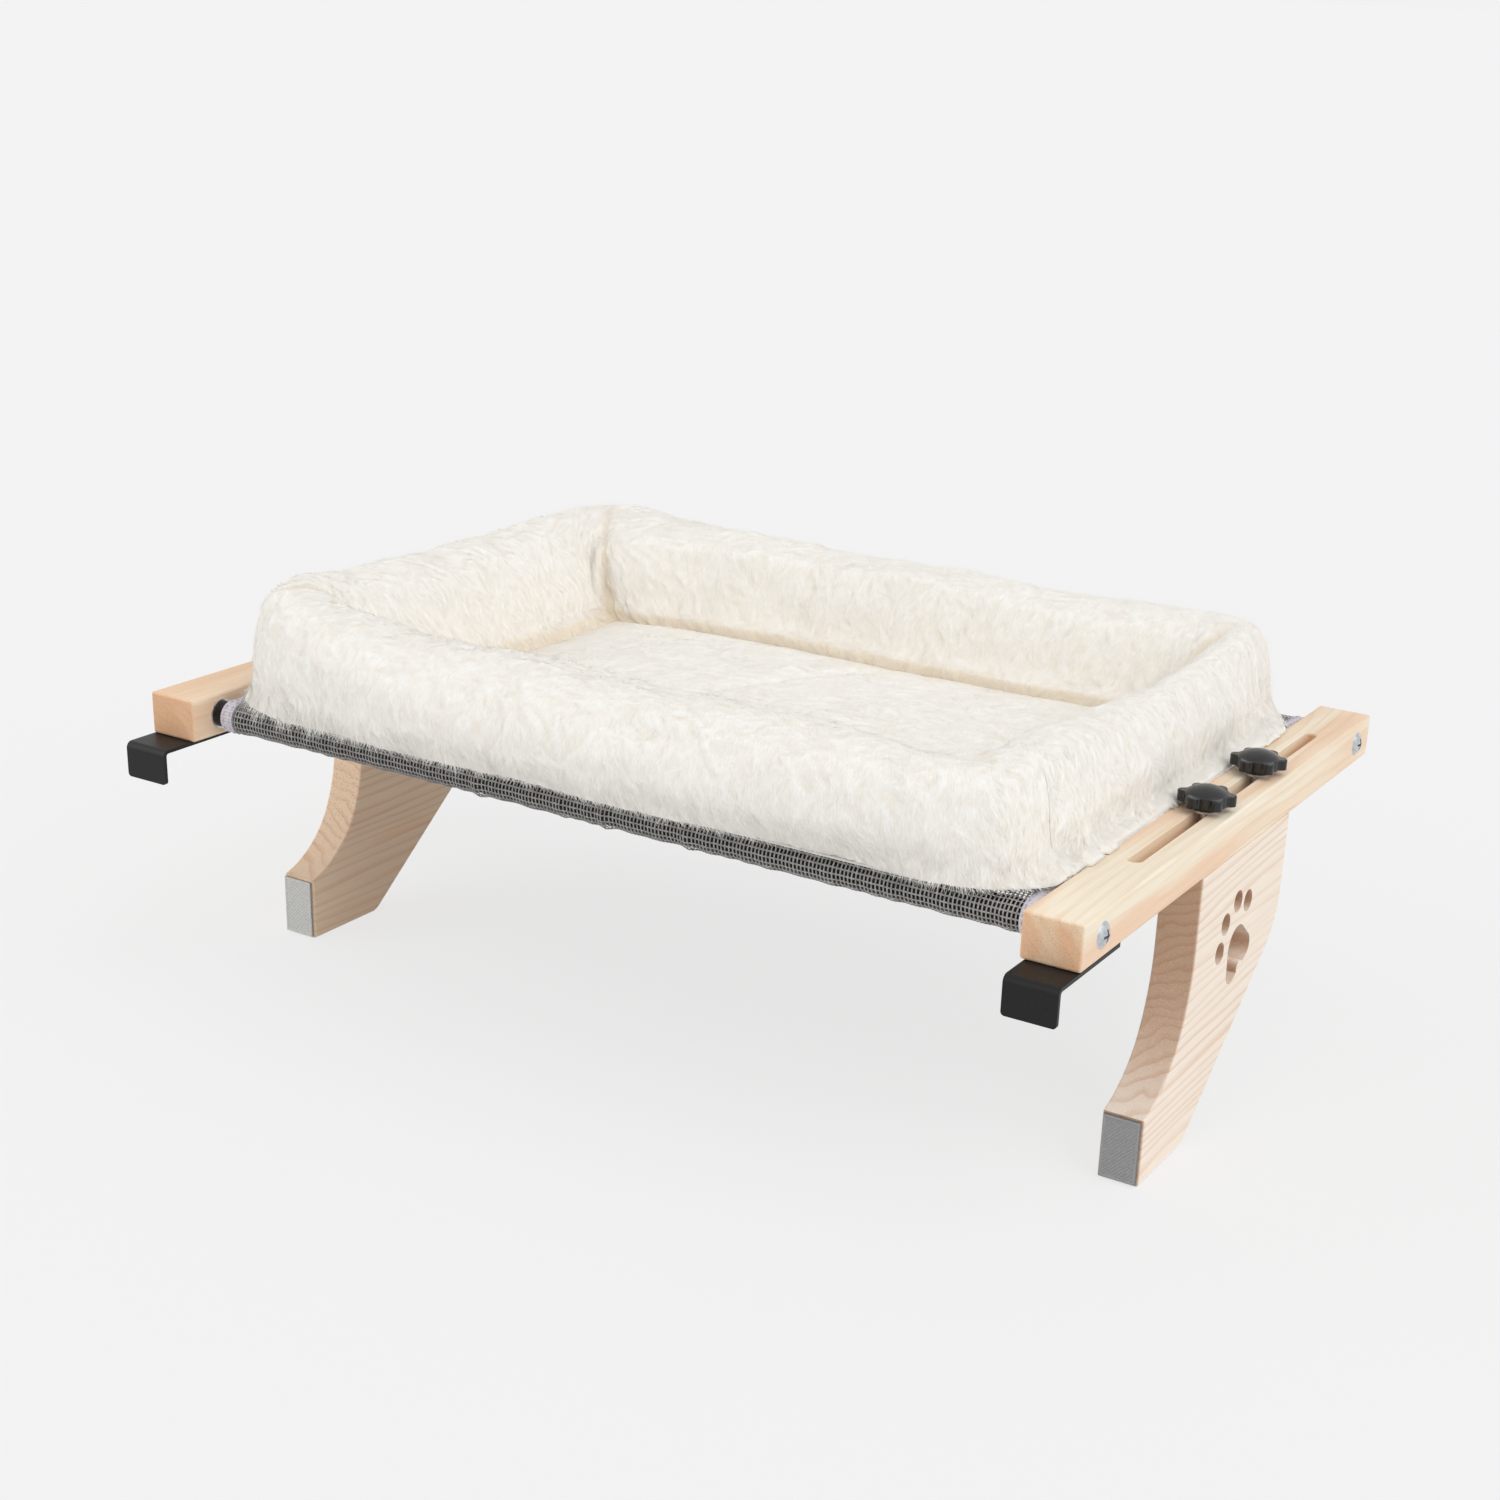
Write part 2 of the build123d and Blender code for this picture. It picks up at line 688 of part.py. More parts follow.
# Left or right bolster, mitred between the front and rear ones
def make_side_bolster(side, sign):
    origin = (sign * bed_width / 2, bed_mid_y, bolster_bottom_z)
    outline_plane = Plane(origin=origin, x_dir=(-sign, 0, 0), z_dir=(0, sign, 0))
    half_length = bed_depth / 2 - bed_corner_radius
    bed_middle = Plane(origin=(0, bed_mid_y, 0), z_dir=(0, 1, 0))
    front_wedge = mitre_wedge(sign, True)
    rear_wedge = mirror(front_wedge, about=bed_middle, mode=Mode.PRIVATE)
    with BuildPart() as bolster:
        extrude(bolster_outline(outline_plane, bolster_width), amount=half_length, both=True)
        for wedge in (front_wedge, rear_wedge):
            extrude(wedge, amount=bolster_height * 2, dir=(0, 0, 1), mode=Mode.SUBTRACT)
    bolster.part.label = f"bed_{side}_bolster"
    export_step(bolster.part, f"parts/bed_{side}_bolster.step")


# Floor cushion, rounded over at its edges, with two soft creases across its top
def make_floor_cushion():
    length = bed_width - 2 * bolster_width - 2 * cushion_gap
    depth = bed_depth - 2 * bolster_width - 2 * cushion_gap
    crease_radius = (crease_half_width**2 + crease_depth**2) / (2 * crease_depth)
    crease_z = bolster_bottom_z + cushion_height - crease_depth + crease_radius
    with BuildPart() as cushion:
        with BuildSketch(Plane.XY.offset(bolster_bottom_z)):
            with Locations((0, bed_mid_y)):
                RectangleRounded(length, depth, cushion_corner_radius)
        extrude(amount=cushion_height)
        fillet(cushion.faces().sort_by(Axis.Z)[-1].edges(), cushion_edge_radius)
        for start_shares, end_shares in crease_end_shares:
            start = Vector(start_shares[0] * length, bed_mid_y + start_shares[1] * depth, crease_z)
            end = Vector(end_shares[0] * length, bed_mid_y + end_shares[1] * depth, crease_z)
            with BuildSketch(Plane(origin=start, z_dir=end - start)):
                Circle(crease_radius)
            extrude(amount=(end - start).length, mode=Mode.SUBTRACT)
    cushion.part.label = "bed_floor_cushion"
    export_step(cushion.part, "parts/bed_floor_cushion.step")


sling = make_sling()

for side, sign in SIDES.items():
    make_rail(side, sign)
    make_hook_plate(side, sign)
    make_hook_screws(side, sign)
    make_tube_screws(side, sign)
    make_binding(side, sign, sling)
    make_leg(side, sign)
    make_foot_pad(side, sign)
    make_inserts(side, sign)
    make_side_bolster(side, sign)
    for end, stud_y in stud_ys.items():
        make_knob(f"{side}_{end}", sign * rail_x, stud_y)
        make_stud(f"{side}_{end}", sign * rail_x, stud_y)
        make_knob_washer(f"{side}_{end}", sign * rail_x, stud_y)

for end, tube_y in tube_ys.items():
    make_tube(end, tube_y)
    make_plugs(end, tube_y)
    make_tube_washers(end, tube_y)

make_base_cloth()
make_floor_cushion()
make_rear_bolster(make_front_bolster())
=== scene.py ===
import math

import bpy
import numpy as np
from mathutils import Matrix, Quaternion, Vector


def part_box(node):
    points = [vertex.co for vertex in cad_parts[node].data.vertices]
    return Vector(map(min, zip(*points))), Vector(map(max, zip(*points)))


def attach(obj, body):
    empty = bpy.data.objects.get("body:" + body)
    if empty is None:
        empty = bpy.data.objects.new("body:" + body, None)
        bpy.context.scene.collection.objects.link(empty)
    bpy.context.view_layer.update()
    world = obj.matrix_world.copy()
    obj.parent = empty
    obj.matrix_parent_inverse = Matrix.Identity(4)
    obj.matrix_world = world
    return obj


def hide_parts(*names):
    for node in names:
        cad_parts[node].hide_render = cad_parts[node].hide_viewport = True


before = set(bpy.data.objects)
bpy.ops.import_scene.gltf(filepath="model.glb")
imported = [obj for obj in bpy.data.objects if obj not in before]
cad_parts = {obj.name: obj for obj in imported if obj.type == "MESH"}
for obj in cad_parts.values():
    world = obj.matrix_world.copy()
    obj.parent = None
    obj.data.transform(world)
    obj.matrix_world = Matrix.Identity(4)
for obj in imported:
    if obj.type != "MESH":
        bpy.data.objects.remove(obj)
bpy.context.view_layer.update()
mm = 0.001


# Rails. Two sticks of pine, planed and lightly sanded, with no varnish: matt, with growth rings
# that run the length of the stick as streaks and come out at its ends as darker arcs.
# Each is one CAD solid, so only the wood is made here.

SIDES = {"left": -1, "right": 1}


def linear(colour):
    """An sRGB hex colour as the linear RGBA that a shader takes."""
    parts = [int(colour[i:i + 2], 16) / 255 for i in (1, 3, 5)]
    return (*[c / 12.92 if c <= 0.04045 else ((c + 0.055) / 1.055) ** 2.4 for c in parts], 1)


def add(tree, kind, links=None, **settings):
    """Adds a node with its settings. Each of links fills one input, by a value or from an output."""
    node = tree.nodes.new(kind)
    for name, value in settings.items():
        setattr(node, name, value)
    for socket, value in (links or {}).items():
        if isinstance(value, bpy.types.NodeSocket):
            tree.links.new(value, node.inputs[socket])
        else:
            node.inputs[socket].default_value = value
    return node


def start_material(name, **shader_values):
    """A material with a bare Principled shader, whose named inputs are set straight on it."""
    material = bpy.data.materials.new(name)
    material.use_nodes = True
    tree = material.node_tree
    shader = tree.nodes["Principled BSDF"]
    for socket, value in shader_values.items():
        shader.inputs[socket.replace("_", " ")].default_value = value
    return material, tree, shader


def ramp(tree, value, *stops):
    """The colour that a ramp of (place, hex colour) stops gives a value."""
    tone = add(tree, "ShaderNodeValToRGB", {"Fac": value})
    stops_there = tone.color_ramp.elements
    stops_there.remove(stops_there[-1])
    stops_there[0].position, stops_there[0].color = stops[0][0], linear(stops[0][1])
    for place, colour in stops[1:]:
        stops_there.new(place).color = linear(colour)
    return tone.outputs["Color"]


def emboss(tree, shader, height, strength, distance):
    """A shader's surface raised by a height, as bumps."""
    bumps = add(tree, "ShaderNodeBump", {"Height": height, "Strength": strength, "Distance": distance})
    tree.links.new(bumps.outputs[0], shader.inputs["Normal"])


def roughen(tree, shader, value, least, most):
    """A shader's roughness between least and most, as a value goes from 0 to 1."""
    rough = add(tree, "ShaderNodeMapRange", {"Value": value, "To Min": least, "To Max": most})
    tree.links.new(rough.outputs[0], shader.inputs["Roughness"])


def mottled(name, scale, detail, dark, light, roughness=None, bumps=None, **shader_values):
    """A material that goes from dark to light with a noise of the given scale. The noise also sets its
    roughness between two values, and its bumps by a strength and a distance, where these are given."""
    material, tree, shader = start_material(name, **shader_values)
    place = add(tree, "ShaderNodeTexCoord")
    noise = add(tree, "ShaderNodeTexNoise", {"Vector": place.outputs["Object"], "Scale": scale, "Detail": detail})
    fac = noise.outputs["Fac"]
    tree.links.new(ramp(tree, fac, (0.3, dark), (0.7, light)), shader.inputs["Base Color"])
    if roughness:
        roughen(tree, shader, fac, *roughness)
    if bumps:
        emboss(tree, shader, fac, *bumps)
    return material


def dress(node_name, material):
    """Gives a CAD node its material."""
    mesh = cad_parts[node_name].data
    mesh.materials.clear()
    mesh.materials.append(material)


def pine(name, pith, ring, sap_from, heart, sap, line, end_grain, ring_strength):
    """Pine cut so that the grain runs along Y. The rings lie round the tree's pith, at (x, z), from
    heartwood near it to paler sapwood."""
    material, tree, shader = start_material(name, Roughness=0.62, IOR=1.45)
    place = add(tree, "ShaderNodeTexCoord")
    # Slow sideways drift of the rings: 30 mm across the grain, 300 mm along it
    slow = add(tree, "ShaderNodeMapping", {"Vector": place.outputs["Object"], "Scale": (1, 0.1, 1)})
    drift = add(tree, "ShaderNodeTexNoise", {"Vector": slow.outputs[0], "Scale": 33.0, "Detail": 2.0})
    off_pith = add(tree, "ShaderNodeVectorMath", {0: place.outputs["Object"], 1: (pith[0], 0, pith[1])},
                   operation="SUBTRACT")
    across = add(tree, "ShaderNodeVectorMath", {0: off_pith.outputs[0], 1: (1, 0, 1)}, operation="MULTIPLY")
    radius = add(tree, "ShaderNodeVectorMath", {0: across.outputs[0]}, operation="LENGTH")
    rings = add(tree, "ShaderNodeMath", {0: radius.outputs["Value"], 1: 1 / ring}, operation="MULTIPLY")
    drifted = add(tree, "ShaderNodeMath", {0: drift.outputs["Fac"], 1: 4.5, 2: rings.outputs[0]},
                  operation="MULTIPLY_ADD")
    in_ring = add(tree, "ShaderNodeMath", {0: drifted.outputs[0]}, operation="FRACT")
    # Heartwood gives way to sapwood at sap_from, in broad stripes about 14 mm wide
    stripes = add(tree, "ShaderNodeTexNoise", {"Vector": slow.outputs[0], "Scale": 72.0, "Detail": 1.0})
    outward = add(tree, "ShaderNodeMapRange",
                  {"Value": radius.outputs["Value"], "From Min": sap_from - 16 * mm, "From Max": sap_from + 16 * mm,
                   "To Min": -0.25, "To Max": 0.25})
    older = add(tree, "ShaderNodeMath", {0: stripes.outputs["Fac"], 1: outward.outputs[0]}, operation="ADD")
    age = ramp(tree, older.outputs[0], (0.38, heart), (0.62, sap))
    # Each ring starts pale in spring, darkens towards autumn and then breaks off
    autumn = ramp(tree, in_ring.outputs[0], (0.0, "#000000"), (0.5, "#000000"), (0.9, "#ffffff"), (1.0, "#000000"))
    # Rings fade in and out over about 40 mm, as the saw ran more or less square to them
    fade = add(tree, "ShaderNodeTexNoise", {"Vector": slow.outputs[0], "Scale": 25.0, "Detail": 1.0})
    faded = add(tree, "ShaderNodeMapRange",
                {"Value": fade.outputs["Fac"], "From Min": 0.35, "From Max": 0.65,
                 "To Min": 0.35 * ring_strength, "To Max": ring_strength})
    ring_share = add(tree, "ShaderNodeMath", {0: autumn, 1: faded.outputs[0]}, operation="MULTIPLY")
    growth = add(tree, "ShaderNodeMix",
                 {"Factor": ring_share.outputs[0], "A": age, "B": linear(line)},
                 data_type="RGBA")
    # Fibres 0.8 mm wide and 40 mm long
    along = add(tree, "ShaderNodeMapping", {"Vector": place.outputs["Object"], "Scale": (1, 0.02, 1)})
    fibre = add(tree, "ShaderNodeTexNoise", {"Vector": along.outputs[0], "Scale": 1200.0, "Detail": 3.0})
    fibre_tone = ramp(tree, fibre.outputs["Fac"], (0.3, "#f3e9df"), (0.7, "#ffffff"))
    streaked = add(tree, "ShaderNodeMix",
                   {"Factor": 0.6, "A": growth.outputs["Result"], "B": fibre_tone},
                   data_type="RGBA", blend_type="MULTIPLY")
    # Cut across, the open fibres drink in light: the ends are darker, with fine pores
    facing = add(tree, "ShaderNodeSeparateXYZ", {0: place.outputs["Normal"]})
    endways = add(tree, "ShaderNodeMath", {0: facing.outputs["Y"]}, operation="ABSOLUTE")
    end_share = add(tree, "ShaderNodeMath", {0: endways.outputs[0], 1: 1.6}, operation="POWER")
    pores = add(tree, "ShaderNodeTexNoise", {"Vector": place.outputs["Object"], "Scale": 1500.0, "Detail": 2.0})
    pore_tone = ramp(tree, pores.outputs["Fac"], (0.3, "#dcc6b0"), (0.46, end_grain))
    ended = add(tree, "ShaderNodeMix",
                {"Factor": end_share.outputs[0], "A": (1, 1, 1, 1), "B": pore_tone},
                data_type="RGBA")
    wood = add(tree, "ShaderNodeMix",
               {"Factor": 1.0, "A": streaked.outputs["Result"], "B": ended.outputs["Result"]},
               data_type="RGBA", blend_type="MULTIPLY")
    tree.links.new(wood.outputs["Result"], shader.inputs["Base Color"])
    roughen(tree, shader, fibre.outputs["Fac"], 0.52, 0.72)
    emboss(tree, shader, fibre.outputs["Fac"], 0.25, 0.1 * mm)
    return material


# The right rail's inner edge is heartwood, and the left rail is heartwood nearly all over
for side, sap_from, heart, sap in (("left", 94 * mm, "#f5d4b5", "#fae3c8"), ("right", 88 * mm, "#f8dbbf", "#fdf3df")):
    rail_low, rail_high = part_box(f"{side}_rail")
    pith = ((rail_low.x + rail_high.x) / 2 - 60 * mm, -40 * mm)
    wood = pine(f"pine_{side}_rail", pith, 5.2 * mm, sap_from, heart, sap, "#e8c49d", "#f5e3d3", 0.5)
    dress(f"{side}_rail", wood)


# Hook plates. Strips of 2 mm steel bent to an L and powder coated in satin black: the coat has
# a fine orange-peel texture, which spreads each highlight along the bend.
# Two countersunk zinc screws hold each under its rail.

# Orange peel is about 0.4 mm across; drawn at 0.8 mm so that it shows
black_coat = mottled("black_powder_coat", 1250.0, 2.0, "#0c0c0d", "#161617", roughness=(0.34, 0.5),
                     bumps=(0.3, 0.08 * mm), IOR=1.36)
# Plating leaves faint cloudy patches about 2 mm across
zinc = mottled("bright_zinc_plate", 500.0, 3.0, "#b9bcc2", "#d9dbde", roughness=(0.22, 0.4), Metallic=1.0)

for side in SIDES:
    dress(f"{side}_hook_plate", black_coat)
    dress(f"{side}_hook_screws", zinc)


# Tubes. Black coated steel tube, plugged at both ends with moulded black nylon and drawn tight
# against the rails by zinc truss head screws, with a zinc washer at each joint.

# Moulding leaves a grain of about 0.5 mm
black_nylon = mottled("black_nylon", 2000.0, 2.0, "#19191a", "#242425", Roughness=0.5, IOR=1.53)

for end in ("front", "rear"):
    dress(f"{end}_tube", black_coat)
    dress(f"{end}_tube_plugs", black_nylon)
    dress(f"{end}_tube_washers", zinc)
for side in SIDES:
    dress(f"{side}_tube_screws", zinc)


# Sling. Open mesh of vinyl-coated polyester yarn, woven in a plain square mesh. Each end turns
# round its tube and is sewn to itself under the deck, so the black tube shows through the holes.
# The real mesh has a hole each 1.5 mm along the tube; it is drawn at 2.1 mm so that the holes show.

mesh_pitch = 2.1 * mm
row_pitch = 3 * mm
yarn_width = 0.8 * mm
yarn_height = 0.5 * mm
deck_step = 24 * mm
lap_length = 16 * mm
lap_drop = 1 * mm
hem_bow = 9 * mm
# Places along the tube, and depths as shares, of the pleats sewn into the sleeve
pleats = [(-66 * mm, 1.2), (-14 * mm, 1.8), (11 * mm, 1.6), (60 * mm, 1.2)]
stitch_length = 2.6 * mm
stitch_pitch = 4 * mm

sling_low, sling_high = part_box("sling")
front_tube_low, front_tube_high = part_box("front_tube")
rear_tube_low, rear_tube_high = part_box("rear_tube")
front_axis = ((front_tube_low.y + front_tube_high.y) / 2, (front_tube_low.z + front_tube_high.z) / 2)
rear_axis = ((rear_tube_low.y + rear_tube_high.y) / 2, front_axis[1])
# It was pulled a little to the right on its tubes
sling_pull = 2 * mm
sling_middle_x = (sling_low.x + sling_high.x) / 2 + sling_pull
sling_middle_y = (front_axis[0] + rear_axis[0]) / 2
half_span = (rear_axis[0] - front_axis[0]) / 2
sleeve_outer = sling_high.z - front_axis[1]
cloth_radius = sleeve_outer - 0.5 * mm
wrap_start = math.radians(52)


def cloth_path(step, offset=0.0):
    """Points (y, z) and outward normals along the cloth, from the front lap over the deck to the rear lap."""
    r = cloth_radius + offset
    deck_z = front_axis[1] + r
    angles = np.linspace(wrap_start, 2 * math.pi, max(8, round((2 * math.pi - wrap_start) * r / step)))
    wrap = np.column_stack([front_axis[0] + r * np.sin(angles), front_axis[1] + r * np.cos(angles)])
    wrap_normals = np.column_stack([np.sin(angles), np.cos(angles)])
    lap_y = np.linspace(front_axis[0] + r + lap_length, wrap[0, 0] + 1.5 * mm, 6)
    lap_share = (lap_y - lap_y[-1]) / (lap_y[0] - lap_y[-1])
    lap_z = wrap[0, 1] + (deck_z - lap_drop - wrap[0, 1]) * np.minimum(1, lap_share * 4) ** 0.5
    lap = np.column_stack([lap_y, lap_z])
    lap_normals = np.tile([0.0, -1.0], (len(lap), 1))
    half_deck = np.linspace(front_axis[0], sling_middle_y, round(half_span / deck_step))[1:]
    deck = np.column_stack([half_deck, np.full(len(half_deck), deck_z)])
    deck_normals = np.tile([0.0, 1.0], (len(deck), 1))
    points = np.concatenate([lap, wrap, deck])
    normals = np.concatenate([lap_normals, wrap_normals, deck_normals])
    mirrored = points[-2::-1] * [-1, 1] + [2 * sling_middle_y, 0]
    mirrored_normals = normals[-2::-1] * [-1, 1]
    return np.concatenate([points, mirrored]), np.concatenate([normals, mirrored_normals])


def half_width(y):
    """Half of the sling's width at y: the side hems bow inwards between the tubes."""
    share = np.clip((y - sling_middle_y) / half_span, -1, 1)
    return (sling_high.x - sling_low.x) / 2 + sling_pull - hem_bow * (1 - share ** 2)


def lengths_along(points):
    """How far along a path each of its points is."""
    return np.concatenate([[0], np.cumsum(np.linalg.norm(np.diff(points, axis=0), axis=1))])


def read_along(wanted, along, values):
    """Rows of values at the wanted lengths along a path."""
    return np.stack([np.interp(wanted, along, column) for column in values.T], axis=-1)


def even_points(points, normals, pitch):
    """The same path with its points an even pitch apart."""
    along = lengths_along(points)
    wanted = np.arange(0, along[-1], pitch)
    turned = read_along(wanted, along, normals)
    return read_along(wanted, along, points), turned / np.linalg.norm(turned, axis=1, keepdims=True)


def edge_of_grid(columns, rows):
    """The points round a grid's edge, in turn."""
    around = [i * rows for i in range(columns)] + [(columns - 1) * rows + j for j in range(1, rows)]
    return around + [i * rows + rows - 1 for i in range(columns - 2, -1, -1)] + list(range(rows - 2, 0, -1))


def put(name, data):
    """A new object in the scene, from its data."""
    piece = bpy.data.objects.new(name, data)
    bpy.context.scene.collection.objects.link(piece)
    return piece


def thicken(piece, thickness):
    """Gives a sheet its thickness, half of it to each side."""
    thick = piece.modifiers.new("thickness", "SOLIDIFY")
    thick.thickness = thickness
    thick.offset = 0


def build(name, points, faces, material, smooth=True):
    """A mesh object from its points and faces."""
    mesh = bpy.data.meshes.new(name)
    mesh.from_pydata([tuple(p) for p in points], [], [tuple(f) for f in faces])
    mesh.materials.append(material)
    if smooth:
        mesh.shade_smooth()
    return put(name, mesh)


def yarns(lines, sideways, outward, width, height):
    """Diamond-section yarns. lines is (yarns, points, 3); sideways and outward are its unit directions."""
    count, length = lines.shape[:2]
    corners = np.stack([
        lines + sideways * width / 2,
        lines + outward * height / 2,
        lines - sideways * width / 2,
        lines - outward * height / 2,
    ], axis=2)
    points = corners.reshape(-1, 3)
    start = (np.arange(count)[:, None, None] * length + np.arange(length - 1)[None, :, None]) * 4
    corner = np.arange(4)[None, None, :]
    after = (corner + 1) % 4
    sides = np.stack([start + corner, start + 4 + corner, start + 4 + after, start + after], axis=-1)
    first = np.arange(count)[:, None] * length * 4
    caps = np.concatenate([first + [0, 1, 2, 3], first + (length - 1) * 4 + [3, 2, 1, 0]])
    return points, np.concatenate([sides.reshape(-1, 4), caps])


# Yarns differ a little in grey from one to the next
vinyl_yarn = mottled("vinyl_coated_yarn", 700.0, 2.0, "#7f7c79", "#b4b1ae", Roughness=0.48, IOR=1.5)


def hump(x, middle, width):
    """1 at the middle, and falling off smoothly over the width to both sides."""
    return np.exp(-((x - middle) / width) ** 2)


def gather(lines, outward):
    """The yarns puckered where the sleeve is gathered on its seam, in uneven waves 13 mm and 33 mm
    long, with a few sewn pleats along it."""
    pucker = 0.35 * np.sin(lines[..., 0] / (2.1 * mm) + 2 * np.sin(lines[..., 0] / (13 * mm)))
    pucker += 0.3 * np.sin(lines[..., 0] / (5.3 * mm) + 1)
    for pleat_x, depth in pleats:
        pucker += depth * hump(lines[..., 0], pleat_x, 2.6 * mm)
    on_sleeve = np.clip(2 - np.abs(lines[..., 1] - front_axis[0]) / cloth_radius, 0, 1)
    return lines + outward * (pucker * on_sleeve * 0.6 * mm)[..., None]


path, path_normals = cloth_path(2 * mm)
cross_count = round(2 * half_width(rear_axis[0]) / mesh_pitch)
shares = np.linspace(-1, 1, cross_count)
cross_x = sling_middle_x + shares[:, None] * (half_width(path[:, 0])[None, :] - 1 * mm)
outward = np.column_stack([np.zeros(len(path)), path_normals])[None]
cross_lines = np.stack([
    cross_x,
    np.broadcast_to(path[:, 0], cross_x.shape),
    np.broadcast_to(path[:, 1], cross_x.shape),
], axis=-1) + outward * 0.12 * mm
sideways = np.broadcast_to([1.0, 0.0, 0.0], cross_lines.shape)
cross_lines = gather(cross_lines, outward)
cross_points, cross_faces = yarns(cross_lines, sideways, np.broadcast_to(outward, cross_lines.shape),
                                  yarn_width, yarn_height)

rows, row_normals = even_points(path, path_normals, row_pitch)
row_shares = np.linspace(-1, 1, 241)
row_x = sling_middle_x + row_shares[None, :] * (half_width(rows[:, 0])[:, None] - 1 * mm)
row_lines = np.stack([
    row_x,
    np.broadcast_to(rows[:, :1], row_x.shape),
    np.broadcast_to(rows[:, 1:], row_x.shape),
], axis=-1)
row_out = np.column_stack([np.zeros(len(rows)), row_normals])[:, None, :]
row_side = np.column_stack([np.zeros(len(rows)), -row_normals[:, 1], row_normals[:, 0]])[:, None, :]
row_lines = gather(row_lines, row_out)
row_points, row_faces = yarns(row_lines, np.broadcast_to(row_side, row_lines.shape),
                              np.broadcast_to(row_out, row_lines.shape), yarn_width, yarn_height)

sling = build("sling_mesh", np.concatenate([cross_points, row_points]),
              np.concatenate([cross_faces, row_faces + len(cross_points)]), vinyl_yarn, smooth=False)
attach(sling, "frame")
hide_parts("sling")


# Binding tapes. Lavender-grey polyester tape folded over each side hem, from lap to lap, and
# sewn down with two rows of thread in the same colour. It is matt, with fine ribs across it.

tape_width = 7.5 * mm
tape_thickness = 0.45 * mm
tape_lift = 0.62 * mm

tape_cloth, tree, shader = start_material("woven_polyester_tape", Roughness=0.85, IOR=1.45, Sheen_Weight=0.25)
place = add(tree, "ShaderNodeTexCoord")
# Ribs 0.8 mm apart along the tape
ribs = add(tree, "ShaderNodeTexWave", {"Vector": place.outputs["UV"], "Scale": 1 / (3.2 * mm) / 6.283 * 4},
           wave_type="BANDS", bands_direction="Y")
fuzz = add(tree, "ShaderNodeTexNoise", {"Vector": place.outputs["Object"], "Scale": 900.0, "Detail": 2.0})
mixed = add(tree, "ShaderNodeMath", {0: ribs.outputs["Fac"], 1: fuzz.outputs["Fac"]}, operation="ADD")
tree.links.new(ramp(tree, mixed.outputs[0], (0.3, "#bab4bf"), (0.9, "#dad5dd")), shader.inputs["Base Color"])
emboss(tree, shader, mixed.outputs[0], 0.5, 0.15 * mm)

tape_path, tape_normals = cloth_path(1.2 * mm)
fold_angles = np.radians([90, 60, 20, -20, -60, -90])
# The tape's own section: in from the hem on the outer face, round the hem, and back on the inner face
section_in = [tape_width, tape_width * 0.66, tape_width * 0.33, 1 * mm]
section = [(x, tape_lift) for x in section_in]
section += [(-tape_lift * math.cos(a) + 0.2 * mm, tape_lift * math.sin(a)) for a in fold_angles[1:-1]]
section += [(x, -tape_lift) for x in reversed(section_in)]

for side, sign in SIDES.items():
    points = []
    for (y, z), (normal_y, normal_z) in zip(tape_path, tape_normals):
        hem_x = sling_middle_x + sign * half_width(y)
        for inward, out in section:
            points.append((hem_x - sign * inward, y + normal_y * out, z + normal_z * out))
    across = len(section)
    faces = []
    for i in range(len(tape_path) - 1):
        for j in range(across - 1):
            a = i * across + j
            quad = (a, a + 1, a + 1 + across, a + across)
            faces.append(quad if sign > 0 else quad[::-1])
    tape = build(f"sling_{side}_tape", points, faces, tape_cloth)
    run = lengths_along(tape_path)
    uv_layer = tape.data.uv_layers.new(name="UVMap")
    for loop in tape.data.loops:
        i, j = divmod(loop.vertex_index, across)
        uv_layer.data[loop.index].uv = (j * 2 * mm, run[i])
    thicken(tape, tape_thickness)
    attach(tape, "frame")
    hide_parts(f"sling_{side}_binding")

# The thread's twist shows as paler and darker flecks of about 0.4 mm
thread = mottled("polyester_thread", 2500.0, 2.0, "#a59dae", "#c3bccb", Roughness=0.7, IOR=1.45)


def sew(name, route, outward):
    """A row of stitches along a route, each a short thread with rounded ends."""
    along = lengths_along(route)
    starts = np.arange(stitch_pitch, along[-1] - stitch_pitch, stitch_pitch)
    rises = np.array([-0.15, 0.22, 0.28, 0.22, -0.15]) * mm
    places = starts[:, None] + np.linspace(0, stitch_length, len(rises))[None, :]
    out = read_along(places, along, outward)
    lines = read_along(places, along, route) + out * rises[None, :, None]
    run = lines[:, -1:] - lines[:, :1]
    sideways = np.cross(np.broadcast_to(run, lines.shape), out)
    sideways /= np.linalg.norm(sideways, axis=-1, keepdims=True)
    points, faces = yarns(lines, sideways, out, 0.5 * mm, 0.4 * mm)
    row = build(name, points, faces, thread)
    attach(row, "frame")
    return row


deck = slice(round(len(tape_path) * 0.03), round(len(tape_path) * 0.97))
for side, sign in SIDES.items():
    for row_name, inward in (("outer", 2 * mm), ("inner", tape_width - 1.5 * mm)):
        y, z = tape_path[deck].T
        x = sling_middle_x + sign * (half_width(y) - inward)
        out = np.column_stack([np.zeros(len(y)), tape_normals[deck]])
        route = np.column_stack([x, y, z]) + out * (tape_lift + tape_thickness / 2)
        sew(f"{side}_tape_{row_name}_seam", route, out)
for end, axis_y, turn in (("front", front_axis[0], 1), ("rear", rear_axis[0], -1)):
    y = axis_y + turn * (cloth_radius + 0.6 * lap_length)
    reach = float(half_width(y)) - tape_width
    x = np.linspace(sling_middle_x - reach, sling_middle_x + reach, 9)
    under_z = front_axis[1] + cloth_radius - lap_drop - yarn_height
    route = np.column_stack([x, np.full(9, y), np.full(9, under_z)])
    sew(f"{end}_sleeve_seam", route, np.tile([0.0, 0.0, -1.0], (9, 1)))


